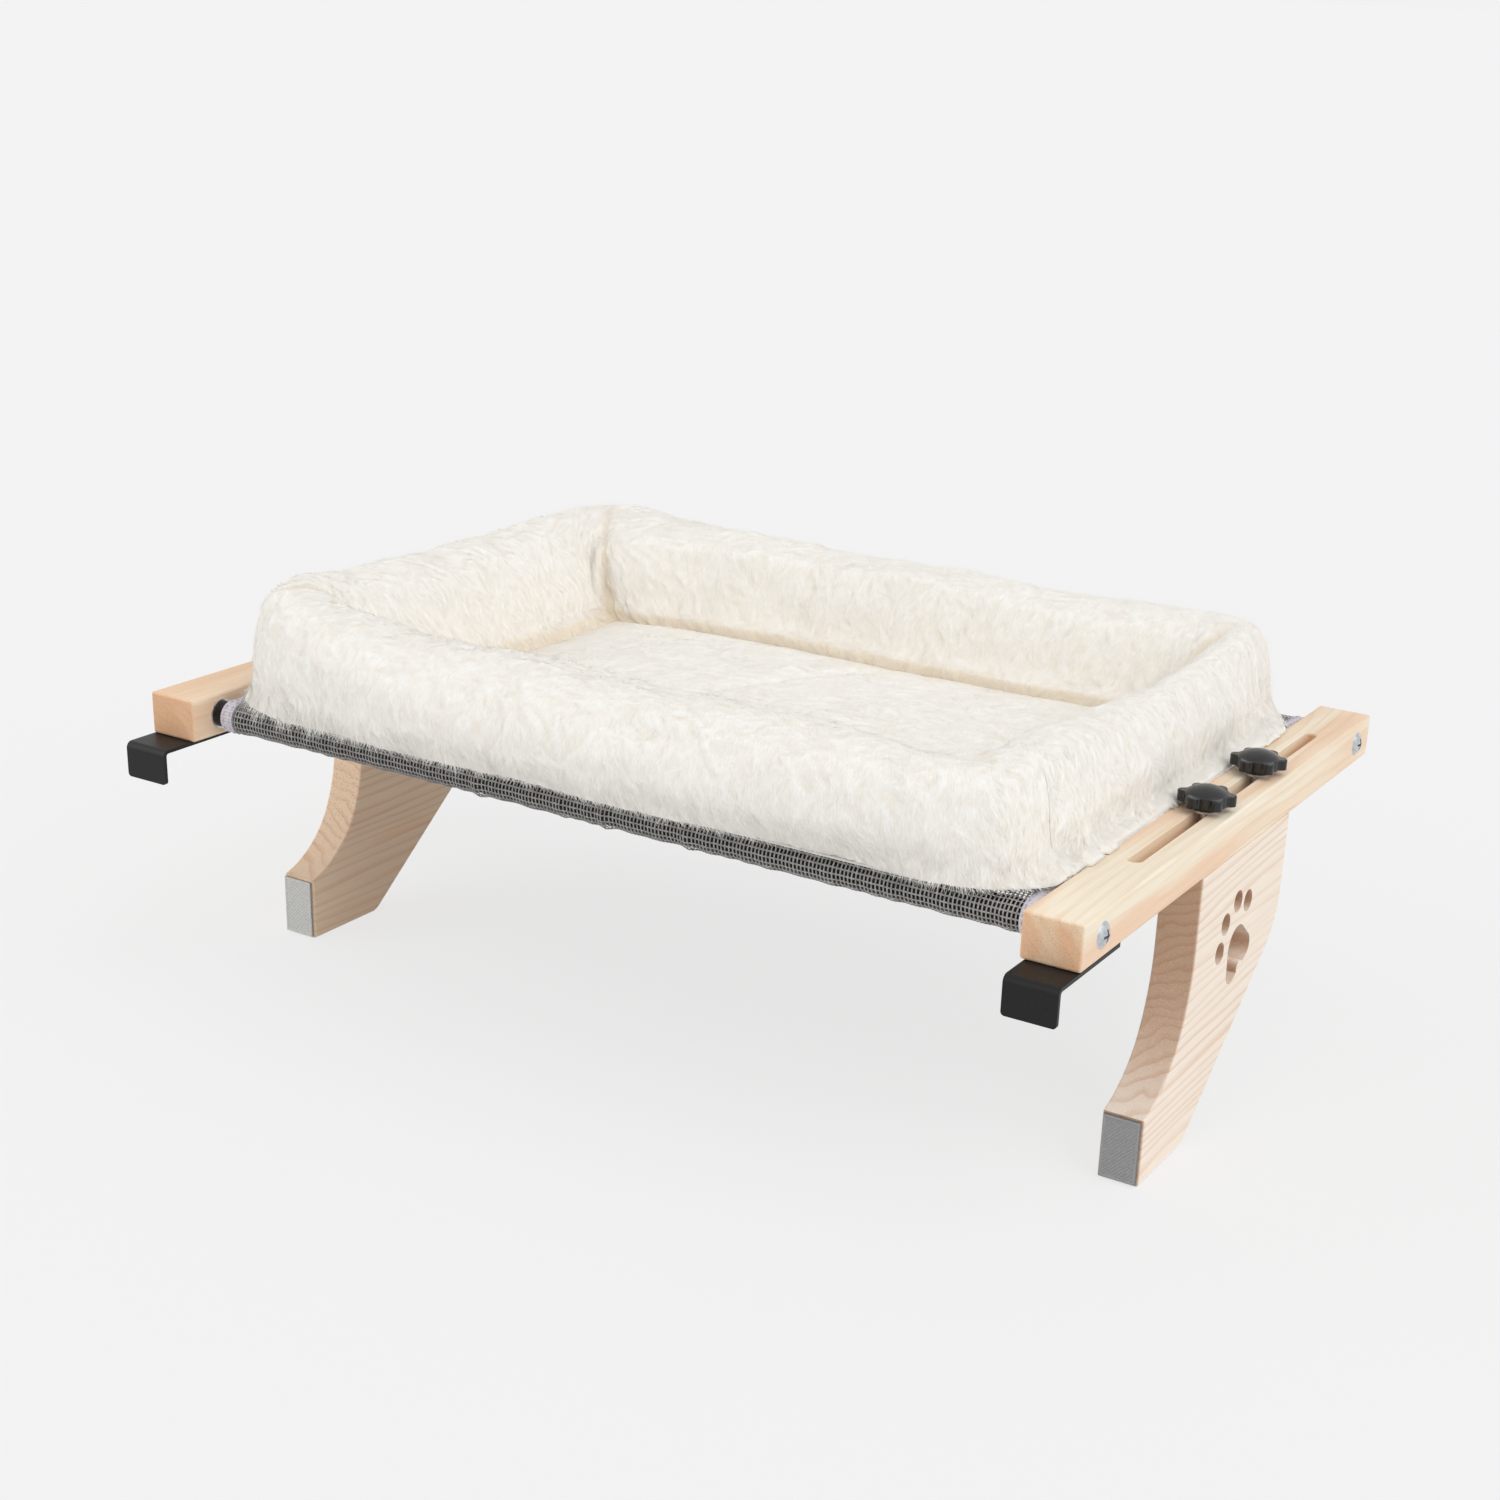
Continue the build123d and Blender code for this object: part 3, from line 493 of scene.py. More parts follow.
# Legs. Pine boards sawn to a curve on a band saw and sanded, with the grain lying level: long
# even lines on the flat faces, wide wavy bands on the sawn front curve.
# Two zinc inserts are driven into each leg's top for the studs.

# The left leg's wood is drawn redder than the right one's. The sawn fronts differ by painted light: the right one is
# painted browner, as painted shade under the bed, and the left one paler, as painted light from the left front
for side, heart, sap, line, sawn_front_painted_light_shade, ring_strength in (
    ("left", "#fed5b0", "#fee5ca", "#e2ae84", "#fffefc", 0.55),
    ("right", "#f6dfcb", "#fdf2e6", "#dfb790", "#c8ae9b", 0.5),
):
    leg_low, leg_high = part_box(f"{side}_leg")
    pith = ((leg_low.x + leg_high.x) / 2 - SIDES[side] * 62 * mm, 95 * mm)
    wood = pine(f"pine_{side}_leg", pith, 5.5 * mm, 60 * mm, heart, sap, line, sawn_front_painted_light_shade, ring_strength)
    dress(f"{side}_leg", wood)
    dress(f"{side}_leg_inserts", zinc)


# Foot pads. Grey moulded rubber, 2 mm thick, glued to the front of each foot. The face has fine
# diagonal ribs inside a plain raised border, which keep it from slipping on the wall.

rib_pitch = 1.5 * mm
rib_height = 0.45 * mm
pad_border = 1.1 * mm
pad_step = 0.3 * mm

# The two pads are one rubber, drawn in two greys as painted light: the left one is painted paler, as lit from the
# left front, and the right one darker, as in shade
for side, dark, light in (("left", "#cdcdca", "#e3e3e0"), ("right", "#909092", "#a6a6a7")):
    # Mould grain of about 0.6 mm
    rubber_with_painted_light = mottled(f"grey_moulded_rubber_painted_light_{side}", 1600.0, 2.0, dark, light, Roughness=0.75, IOR=1.52)
    pad_low, pad_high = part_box(f"{side}_foot_pad")
    columns = round((pad_high.x - pad_low.x) / pad_step)
    lines = round((pad_high.z - pad_low.z) / pad_step)
    x, z = np.meshgrid(np.linspace(0, 1, columns), np.linspace(0, 1, lines), indexing="ij")
    width, height = pad_high.x - pad_low.x, pad_high.z - pad_low.z
    from_edge = np.minimum(np.minimum(x, 1 - x) * width, np.minimum(z, 1 - z) * height)
    ribs = 0.5 + 0.5 * np.sin(2 * math.pi * (x * width - z * height) * math.sqrt(0.5) / rib_pitch)
    inside = np.clip((from_edge - pad_border) / (0.4 * mm), 0, 1)
    edge_round = 0.4 * mm * np.clip(1 - from_edge / (0.5 * mm), 0, 1) ** 2
    depth = inside * (0.15 * mm + rib_height * (1 - ribs)) + edge_round
    face = np.stack([pad_low.x + x * width, pad_low.y + depth, pad_low.z + z * height], axis=-1)
    points = [*face.reshape(-1, 3)]
    faces = []
    for i in range(columns - 1):
        for j in range(lines - 1):
            a = i * lines + j
            faces.append((a, a + 1, a + 1 + lines, a + lines)[::-1])
    # The sides go back from the face's edge to the wood
    rim = edge_of_grid(columns, lines)
    back = len(points)
    points += [(points[i][0], pad_high.y, points[i][2]) for i in rim]
    for i in range(len(rim)):
        after = (i + 1) % len(rim)
        faces.append((rim[i], rim[after], back + after, back + i))
    faces.append(tuple(back + i for i in range(len(rim))))
    pad = build(f"{side}_ribbed_pad", points, faces, rubber_with_painted_light)
    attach(pad, f"{side}_leg")
    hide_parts(f"{side}_foot_pad")


# Knobs. Six-lobed star knobs moulded in black ABS, polished in the mould, each with a zinc stud
# moulded in and a zinc washer below. The gloss shows as a soft bright line round each lobe.

# Handling leaves the polish a little uneven, in patches of about 5 mm
black_abs = mottled("polished_black_abs", 200.0, 3.0, "#0e0e0f", "#181819", roughness=(0.16, 0.32), IOR=1.54)

for side in SIDES:
    for end in ("front", "rear"):
        dress(f"{side}_{end}_knob", black_abs)
        dress(f"{side}_{end}_stud", zinc)
        dress(f"{side}_{end}_knob_washer", zinc)


# Bed cloth. The plush bed's underside is one piece of off-white non-woven cloth, 2 mm thick with
# its backing, which lies on the sling and is sewn to the bolsters round its edge.

felt, tree, shader = start_material("non_woven_backing", Roughness=0.9, IOR=1.45, Sheen_Weight=0.2)
place = add(tree, "ShaderNodeTexCoord")
# Pressed dots 3 mm apart, and loose fibres
dots = add(tree, "ShaderNodeTexVoronoi", {"Vector": place.outputs["Object"], "Scale": 330.0, "Randomness": 0.1})
tone = ramp(tree, dots.outputs["Distance"], (0.1, "#d5d1c9"), (0.4, "#e6e3dc"))
tree.links.new(tone, shader.inputs["Base Color"])
emboss(tree, shader, dots.outputs["Distance"], 0.4, 0.2 * mm)

cloth_low, cloth_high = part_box("bed_base_cloth")
cloth_size = cloth_high - cloth_low
corner = 43 * mm
outline = []
for turn, (sx, sy) in enumerate(((1, 1), (-1, 1), (-1, -1), (1, -1))):
    middle_x = (cloth_low.x + cloth_high.x) / 2 + sx * (cloth_size.x / 2 - corner)
    middle_y = (cloth_low.y + cloth_high.y) / 2 + sy * (cloth_size.y / 2 - corner)
    for a in np.radians(np.linspace(0, 90, 10)) + turn * math.pi / 2:
        outline.append((middle_x + corner * math.cos(a), middle_y + corner * math.sin(a)))
rim_points = [(x, y, cloth_low.z + 0.8 * mm) for x, y in outline]
rim_points.append(((cloth_low.x + cloth_high.x) / 2, (cloth_low.y + cloth_high.y) / 2, cloth_low.z + 0.8 * mm))
rim_faces = [(i, (i + 1) % len(outline), len(outline)) for i in range(len(outline))]
backing = build("bed_backing", rim_points, rim_faces, felt)
thicken(backing, 1 * mm)
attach(backing, "bed")
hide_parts("bed_base_cloth")


# Bolsters. A raised rim of four stuffed bolsters under cream plush with a dense, soft, wavy pile.
# The stuffing is blown in until the cloth stands proud, held by the seams at its foot and its ends.
# The pile's tufts are raised from the cloth itself, and loose hairs stand out from them.

plush, tree, shader = start_material("cream_long_pile_plush", Roughness=0.9, IOR=1.45, Sheen_Weight=0.1)
shader.inputs["Sheen Roughness"].default_value = 0.5
place = add(tree, "ShaderNodeTexCoord")
lie = add(tree, "ShaderNodeAttribute", attribute_name="pile_lie")
root = add(tree, "ShaderNodeAttribute", attribute_name="pile_painted_shade")
tuft = add(tree, "ShaderNodeAttribute", attribute_name="pile_tuft")
# Fibres 0.5 mm apart and 4 mm long, as the pile lies, bent by waves of about 20 mm
wave = add(tree, "ShaderNodeTexNoise", {"Vector": place.outputs["Object"], "Scale": 50.0, "Detail": 2.0})
bent = add(tree, "ShaderNodeVectorMath", {0: wave.outputs["Color"], 1: (7 * mm, 7 * mm, 0), 2: lie.outputs["Vector"]},
           operation="MULTIPLY_ADD")
drawn_out = add(tree, "ShaderNodeMapping", {"Vector": bent.outputs[0], "Scale": (1, 0.14, 0)})
fibres = add(tree, "ShaderNodeTexNoise", {"Vector": drawn_out.outputs[0], "Scale": 1400.0, "Detail": 3.0},
             noise_dimensions="2D")
# White tips over cream. Creamier between the tufts is painted shade in the hollows, and the darker cream mixed in at
# the folds is painted shade too
depth = add(tree, "ShaderNodeMath", {0: tuft.outputs["Fac"], 1: 0.09, 2: fibres.outputs["Fac"]},
            operation="MULTIPLY_ADD")
tone = ramp(tree, depth.outputs[0], (0.3, "#f4eee4"), (0.52, "#f9f6f0"), (0.75, "#fdfcf9"))
# The painted shade share mixes a darker cream into the tone
painted_shade_tone = add(tree, "ShaderNodeMix",
             {"Factor": root.outputs["Fac"], "A": tone, "B": linear("#e3cfae")},
             data_type="RGBA")
tree.links.new(painted_shade_tone.outputs["Result"], shader.inputs["Base Color"])
emboss(tree, shader, fibres.outputs["Fac"], 0.45, 0.35 * mm)

pile_random = np.random.default_rng(7)
pile_step = 1.25 * mm
stuffing_pressure = 4.0
stuffing_frames = 20


def ripple(points, size, seed):
    """A smooth random field from about -1 to 1, with waves of about the given size."""
    waves = np.random.default_rng(seed)
    value = np.zeros(points.shape[:-1])
    for _ in range(7):
        direction = waves.normal(size=3)
        direction *= waves.uniform(0.7, 1.5) / np.linalg.norm(direction)
        value += np.sin(points @ direction * 2 * math.pi / size + waves.uniform(0, 2 * math.pi))
    return value / 3.5


def unit(vectors):
    """The vectors at a length of 1."""
    return vectors / np.maximum(np.linalg.norm(vectors, axis=-1, keepdims=True), 1e-12)


def surface_normals(grid):
    """Unit normals of a grid of points (columns, rows, 3)."""
    return unit(np.cross(np.gradient(grid, axis=0), np.gradient(grid, axis=1)))


def grid_faces(columns, rows):
    """Quads over a grid, in the turn that its normals have."""
    i, j = np.meshgrid(np.arange(columns - 1), np.arange(rows - 1), indexing="ij")
    a = (i * rows + j).ravel()
    return np.column_stack([a, a + rows, a + rows + 1, a + 1])


def stuff(grid, closing_faces, most):
    """The grid blown up by its stuffing, each point by no more than most. Its edges are seams, which hold."""
    columns, rows = grid.shape[:2]
    case = build("stuffed_case", grid.reshape(-1, 3), [*grid_faces(columns, rows).tolist(), *closing_faces], plush)
    seams = case.vertex_groups.new(name="seams")
    i, j = np.divmod(np.arange(columns * rows), rows)
    on_edge = (i == 0) | (i == columns - 1) | (j == 0) | (j == rows - 1)
    seams.add(np.flatnonzero(on_edge).tolist(), 1.0, "REPLACE")
    cloth = case.modifiers.new("stuffing", "CLOTH").settings
    cloth.use_pressure = True
    cloth.uniform_pressure_force = stuffing_pressure
    cloth.vertex_group_mass = "seams"
    cloth.effector_weights.gravity = 0
    for step in range(1, stuffing_frames + 1):
        bpy.context.scene.frame_set(step)
    blown = case.evaluated_get(bpy.context.evaluated_depsgraph_get())
    moved = np.empty(columns * rows * 3)
    blown.data.vertices.foreach_get("co", moved)
    moved = moved.reshape(grid.shape) - grid
    bpy.data.objects.remove(case)
    bpy.context.scene.frame_set(1)
    reach = np.linalg.norm(moved, axis=-1, keepdims=True)
    return grid + moved * np.minimum(1, most / np.maximum(reach, 1e-9))


def refine(grid, axis, count):
    """The grid with count points along one axis, on smooth curves through the ones it has."""
    last = grid.shape[axis] - 1
    wanted = np.linspace(0, last, count)
    whole = np.minimum(wanted.astype(int), last - 1)
    shape = [1] * grid.ndim
    shape[axis] = count
    t = (wanted - whole).reshape(shape)
    before, near, far, after = (np.take(grid, np.clip(whole + k, 0, last), axis=axis) for k in (-1, 0, 1, 2))
    bend = (2 * before - 5 * near + 4 * far - after) * t ** 2 + (3 * near - before - 3 * far + after) * t ** 3
    return near + ((far - before) * t + bend) / 2


def sample(field, i, j):
    """Values of a grid's field between its points."""
    i = np.clip(i, 0, field.shape[0] - 1.001)
    j = np.clip(j, 0, field.shape[1] - 1.001)
    a, b = i.astype(int), j.astype(int)
    u, v = i - a, j - b
    return ((field[a, b] * (1 - u) + field[a + 1, b] * u) * (1 - v)
            + (field[a, b + 1] * (1 - u) + field[a + 1, b + 1] * u) * v)


def swirled(points, normals, comb):
    """Unit directions in which the pile lies: as combed, swirled by waves of 45 mm and 16 mm."""
    flow = comb(points, normals)
    flow = unit(flow - normals * (flow * normals).sum(-1, keepdims=True))
    turn = 0.7 * ripple(points, 45 * mm, 11) + 0.5 * ripple(points, 16 * mm, 12)
    return flow * np.cos(turn)[..., None] + np.cross(normals, flow) * np.sin(turn)[..., None]


def tufts(grid, flow, width, length):
    """How far the pile stands up at each point, in spreads: tufts of about the given width, drawn out along flow."""
    along, down = np.gradient(grid, axis=0), np.gradient(grid, axis=1)
    per_i = (flow * along).sum(-1) / np.maximum((along ** 2).sum(-1), 1e-12)
    per_j = (flow * down).sum(-1) / np.maximum((down ** 2).sum(-1), 1e-12)
    coarse = pile_random.normal(size=[max(2, round(n * pile_step / width)) for n in grid.shape[:2]])
    spots = refine(refine(coarse, 0, grid.shape[0]), 1, grid.shape[1])
    total = spots.copy()
    steps = round(length / 2 / pile_step)
    for way in (1, -1):
        i, j = np.meshgrid(*[np.arange(n, dtype=float) for n in grid.shape[:2]], indexing="ij")
        for _ in range(steps):
            ahead_i, ahead_j = sample(per_i, i, j), sample(per_j, i, j)
            i, j = i + way * pile_step * ahead_i, j + way * pile_step * ahead_j
            total += sample(spots, i, j)
    return total / total.std()


def pile_stand(grid, flow):
    """How far the pile stands up on a grid: tufts 8 mm long, with finer ones of 5 mm among them."""
    return 0.7 * tufts(grid, flow, 2.5 * mm, 8 * mm) + 0.5 * tufts(grid, flow, 1.3 * mm, 5 * mm)


# The last values told are painted shade: the share of darker cream mixed in at folds and creases
def tell_pile(mesh, lie, tuft, root):
    """Leaves on each point what the plush's shader asks of it."""
    run = mesh.attributes.new("pile_lie", "FLOAT_VECTOR", "POINT")
    run.data.foreach_set("vector", np.ascontiguousarray(lie, dtype=np.float32).ravel())
    for name, values in (("pile_tuft", tuft), ("pile_painted_shade", root)):
        told = mesh.attributes.new(name, "FLOAT", "POINT")
        told.data.foreach_set("value", np.ascontiguousarray(values, dtype=np.float32).ravel())


def grow_hairs(name, grid, painted_shade_share, density, length, lean, comb, keep_clear):
    """Loose hairs over a grid of points, each one thin blade that leans the way the pile lies.
    density is the hairs per square metre at each point, and length their length there."""
    normals = surface_normals(grid)
    rows = grid.shape[1]
    corner_a, corner_b, corner_c = grid[:-1, :-1], grid[1:, :-1], grid[:-1, 1:]
    cell_area = np.linalg.norm(np.cross(corner_b - corner_a, corner_c - corner_a), axis=-1)
    expected = (cell_area * density[:-1, :-1]).ravel()
    count = int(expected.sum())
    cell = pile_random.choice(len(expected), count, p=expected / expected.sum())
    i, j = np.divmod(cell, rows - 1)
    i, j = i + pile_random.random(count), j + pile_random.random(count)
    root = np.stack([sample(grid[..., k], i, j) for k in range(3)], axis=-1)
    normal = unit(np.stack([sample(normals[..., k], i, j) for k in range(3)], axis=-1))
    turn = pile_random.normal(0, 0.35, count)[:, None]
    flow = swirled(root, normal, comb)
    flow = flow * np.cos(turn) + np.cross(normal, flow) * np.sin(turn)
    tilt = lean + pile_random.normal(0, 0.1, count)[:, None]
    own_length = sample(length, i, j)
    clumped = 0.3 + 0.3 * np.clip(own_length / (5 * mm) - 1, 0, 1)
    size = (own_length * (1 + clumped * ripple(root, 11 * mm, 14) + pile_random.normal(0, 0.15, count)))[:, None]
    ahead = unit(flow * np.sin(tilt) + normal * np.cos(tilt))
    sideways = unit(np.cross(ahead, normal)) * hair_width / 2 * np.sqrt(own_length / own_length.min())[:, None]
    tip = keep_clear(root + ahead * size)
    points = np.stack([root - sideways, root + sideways, tip], axis=1).reshape(-1, 3)
    mesh = bpy.data.meshes.new(name)
    mesh.vertices.add(len(points))
    mesh.vertices.foreach_set("co", points.ravel())
    mesh.loops.add(len(points))
    mesh.loops.foreach_set("vertex_index", np.arange(len(points)))
    mesh.polygons.add(count)
    mesh.polygons.foreach_set("loop_start", np.arange(0, len(points), 3))
    mesh.update(calc_edges=True)
    mesh.materials.append(plush)
    mesh.shade_smooth()
    # The pile scatters light within it, so a hair is lit mostly as the cloth under it is, and from above
    lit = np.repeat(unit(normal + [0, 0, 0.45] + pile_random.normal(0, 0.06, (count, 3))), 3, axis=0)
    mesh.normals_split_custom_set_from_vertices(lit)
    # Each hair takes on part of the painted shade of the cloth under it
    own_painted_shade = np.repeat(sample(painted_shade_share, i, j), 3)
    tell_pile(mesh, points * [1, 0, 0], np.full(len(points), 1.0), own_painted_shade * 0.6)
    hairs = put(name, mesh)
    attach(hairs, "bed")
    return hairs


# Sizes of the rim, from the bolsters' own solids
front_low, front_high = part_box("bed_front_bolster")
rear_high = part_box("bed_rear_bolster")[1]
rim_middle = np.array([(front_low.x + front_high.x) / 2, (front_low.y + rear_high.y) / 2, 0])
rim_half_x = (front_high.x - front_low.x) / 2
rim_half_y = (rear_high.y - front_low.y) / 2
rim_width = front_high.y - front_low.y
rim_height = front_high.z - front_low.z
outer_corner = 55 * mm
inner_corner = 12 * mm
# The crown stands prouder than the solid by loft. The cloth starts inside its place by slack, and
# the stuffing moves no point of it by more than puff.
loft = 4.5 * mm
slack = 4.5 * mm
puff = 5 * mm
side_step = 7 * mm
corner_steps = 14
end_lap = 7 * mm
section_steps = 24
tuft_height = 0.24 * mm
hair_width = 0.24 * mm
# The sides' foot spreads over the rails, and the wall above it is drawn in
side_spread = 16 * mm
side_draw = 3 * mm
# The front left corner gives way the most, and the rear right one is rounded
soft_corner_reach = 70 * mm
soft_corner_give = np.array([4, 3, 7]) * mm
round_corner_reach = 60 * mm
round_corner_draw = np.array([7, 5, 0]) * mm
# The left is the fullest
left_rise = 3 * mm
pleat_depth = 2.5 * mm
pleat_half_width = 3.5 * mm
# Shares of its width and height that the section goes through, from the outer foot over the crown
section_shares = np.array([
    (0.05, 0.0), (0.01, 0.17), (0.0, 0.4), (0.025, 0.63), (0.09, 0.83), (0.2, 0.96), (0.354, 1.02),
    (0.5, 1.0), (0.65, 0.91), (0.78, 0.72), (0.9, 0.46), (1.0, 0.2), (1.11, 0.0),
])


def smooth_section():
    """Points an even pitch apart on a smooth curve through the section's shares, in from the
    solid's surface by the cloth's slack."""
    knots = section_shares * [rim_width, rim_height + loft]
    ahead = np.gradient(knots, axis=0)
    inwards = unit(np.column_stack([ahead[:, 1], -ahead[:, 0]]))
    held = np.minimum(1, knots[:, 1:] / (0.2 * rim_height))
    knots = knots + inwards * (1 * mm + (slack - 1 * mm) * held)
    knots[:, 1] = np.maximum(knots[:, 1], 0)
    knots = refine(knots, 0, 200)
    along = lengths_along(knots)
    return read_along(np.linspace(0, along[-1], section_steps), along, knots)


def rim_line(inset, which):
    """Plan points of one bolster at an inset from the rim's outer edge: front and rear carry
    the corners, left and right run between them."""
    corner = outer_corner + (inner_corner - outer_corner) * min(1.0, inset / rim_width)
    flat_x, flat_y = rim_half_x - inset - corner, rim_half_y - inset - corner
    if which in ("front", "rear"):
        straight = np.linspace(-flat_x, flat_x, round(2 * rim_half_x / side_step))
        turn = np.radians(np.linspace(0, 90, corner_steps))
        left = np.column_stack([-flat_x - corner * np.cos(turn), -flat_y - corner * np.sin(turn)])
        middle = np.column_stack([straight, np.full(len(straight), -flat_y - corner)])
        plan = np.concatenate([left, middle[1:-1], left[::-1] * [-1, 1]])
        return plan if which == "front" else -plan
    y = np.linspace(-flat_y - end_lap, flat_y + end_lap, round(2 * rim_half_y / side_step))
    plan = np.column_stack([np.full(len(y), flat_x + corner), y])
    return plan if which == "right" else -plan


def lie_askew(points):
    """The points as the stuffed hollow lies: narrower bolsters at both sides, most so at the right rear
    corner, and the rear bolster folded forwards at its left end."""
    x, y = points[..., 0] - rim_middle[0], points[..., 1] - rim_middle[1]
    hollow_x, hollow_y = rim_half_x - rim_width, rim_half_y - rim_width
    inset = np.clip(np.minimum(rim_half_x - np.abs(x), rim_half_y - np.abs(y)) / (0.8 * rim_width), 0, 1)
    inner = inset ** 2 * (3 - 2 * inset)
    rearward = np.clip(y / hollow_y, -1, 1)
    left, right = np.clip(-x / hollow_x, 0, 1) ** 4, np.clip(x / hollow_x, 0, 1) ** 4
    rear = np.clip(rearward, 0, 1) ** 4
    # The rear bolster's inner side comes forward at its left end, and stands back towards its right end
    fold = 22 * mm * hump(x, -166 * mm, 34 * mm) + 5 * mm * hump(x, -110 * mm, 45 * mm)
    back = 4 * mm + 9 * mm * hump(x, 155 * mm, 50 * mm)
    past_front = np.clip(rearward + 0.85, 0, 1)
    move_x = inner * (right * (6 + 17 * past_front) * mm - left * 9 * mm)
    # The front's foot stands back a little from the tube, most so towards the right
    low = np.clip(1 - (points[..., 2] - front_low.z) / (0.35 * rim_height), 0, 1) * (1 - inner)
    foot_back = 8 * mm * hump(x, 145 * mm, 50 * mm)
    move_y = inner * rear * (back - fold) + low * np.clip(-y / hollow_y, 0, 1) ** 4 * foot_back
    # The right bolster's crown sinks a little midway
    sag = -4 * mm * right * hump(y, 10 * mm, 80 * mm) * (points[..., 2] - front_low.z) / rim_height
    return points + np.stack([move_x, move_y, sag], axis=-1)


def comb_rim(points, normals):
    """The pile on the rim is combed down its sides and round along its crown."""
    outward = unit((points - rim_middle) * [1, 1, 0])
    side = np.abs(normals[..., 2:]) < 0.75
    return np.where(side, [0.35, 0.15, -1.0], np.cross([0, 0, 1], outward) + 0.35 * outward)


rail_low, rail_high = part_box("right_rail")
knob_low, knob_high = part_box("right_front_knob")
# Both legs' knobs slide this far to the front and to the rear
leg_travel = (-85 * mm, 78 * mm)
knob_path_start = knob_low.y + leg_travel[0]
knob_path_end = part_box("right_rear_knob")[1].y + leg_travel[1]
star_bottom = knob_low.z + 2.6 * mm
knob_lift = 3 * mm
rail_lap = 4 * mm


def clear_of_frame(points, over_rail=rail_lap):
    """Holds the pile back from the rails, the sling and the path of the knobs. Some of it lies over a
    rail's inner edge, by over_rail at most under the knobs' stars."""
    x, y, z = points[..., 0], points[..., 1], points[..., 2]
    off_path = np.maximum(knob_path_start - y, y - knob_path_end)
    beside = np.clip(1 - off_path / (15 * mm), 0, 1)
    above = np.clip((z - knob_high.z - knob_lift) / (8 * mm), 0, 1)
    beside_knobs = rail_low.x + rail_lap - (rail_lap - 0.1 * mm) * beside * (1 - above)
    under_stars = z < star_bottom - 0.5 * mm
    on_rail = np.where(under_stars, np.maximum(beside_knobs, rail_low.x + over_rail), beside_knobs)
    side_limit = np.where(z > rail_high.z + 0.6 * mm, on_rail, rail_low.x - 0.6 * mm)
    above_sling = (y > front_axis[0] - 2 * mm) & (y < rear_axis[0] + 2 * mm)
    least_z = np.where(above_sling, sling_high.z + 0.9 * mm, sling_high.z - 5 * mm)
    return np.stack([np.clip(x, -side_limit, side_limit), y, np.maximum(z, least_z)], axis=-1)


def closing_faces(columns, rows):
    """The faces that close a bolster's grid: a strip below, from foot to foot, and its two ends."""
    foot = np.arange(columns - 1) * rows
    underside = np.column_stack([foot, foot + rows - 1, foot + 2 * rows - 1, foot + rows]).tolist()
    return [*underside, tuple(range(rows)), tuple(range(columns * rows - 1, (columns - 1) * rows - 1, -1))]


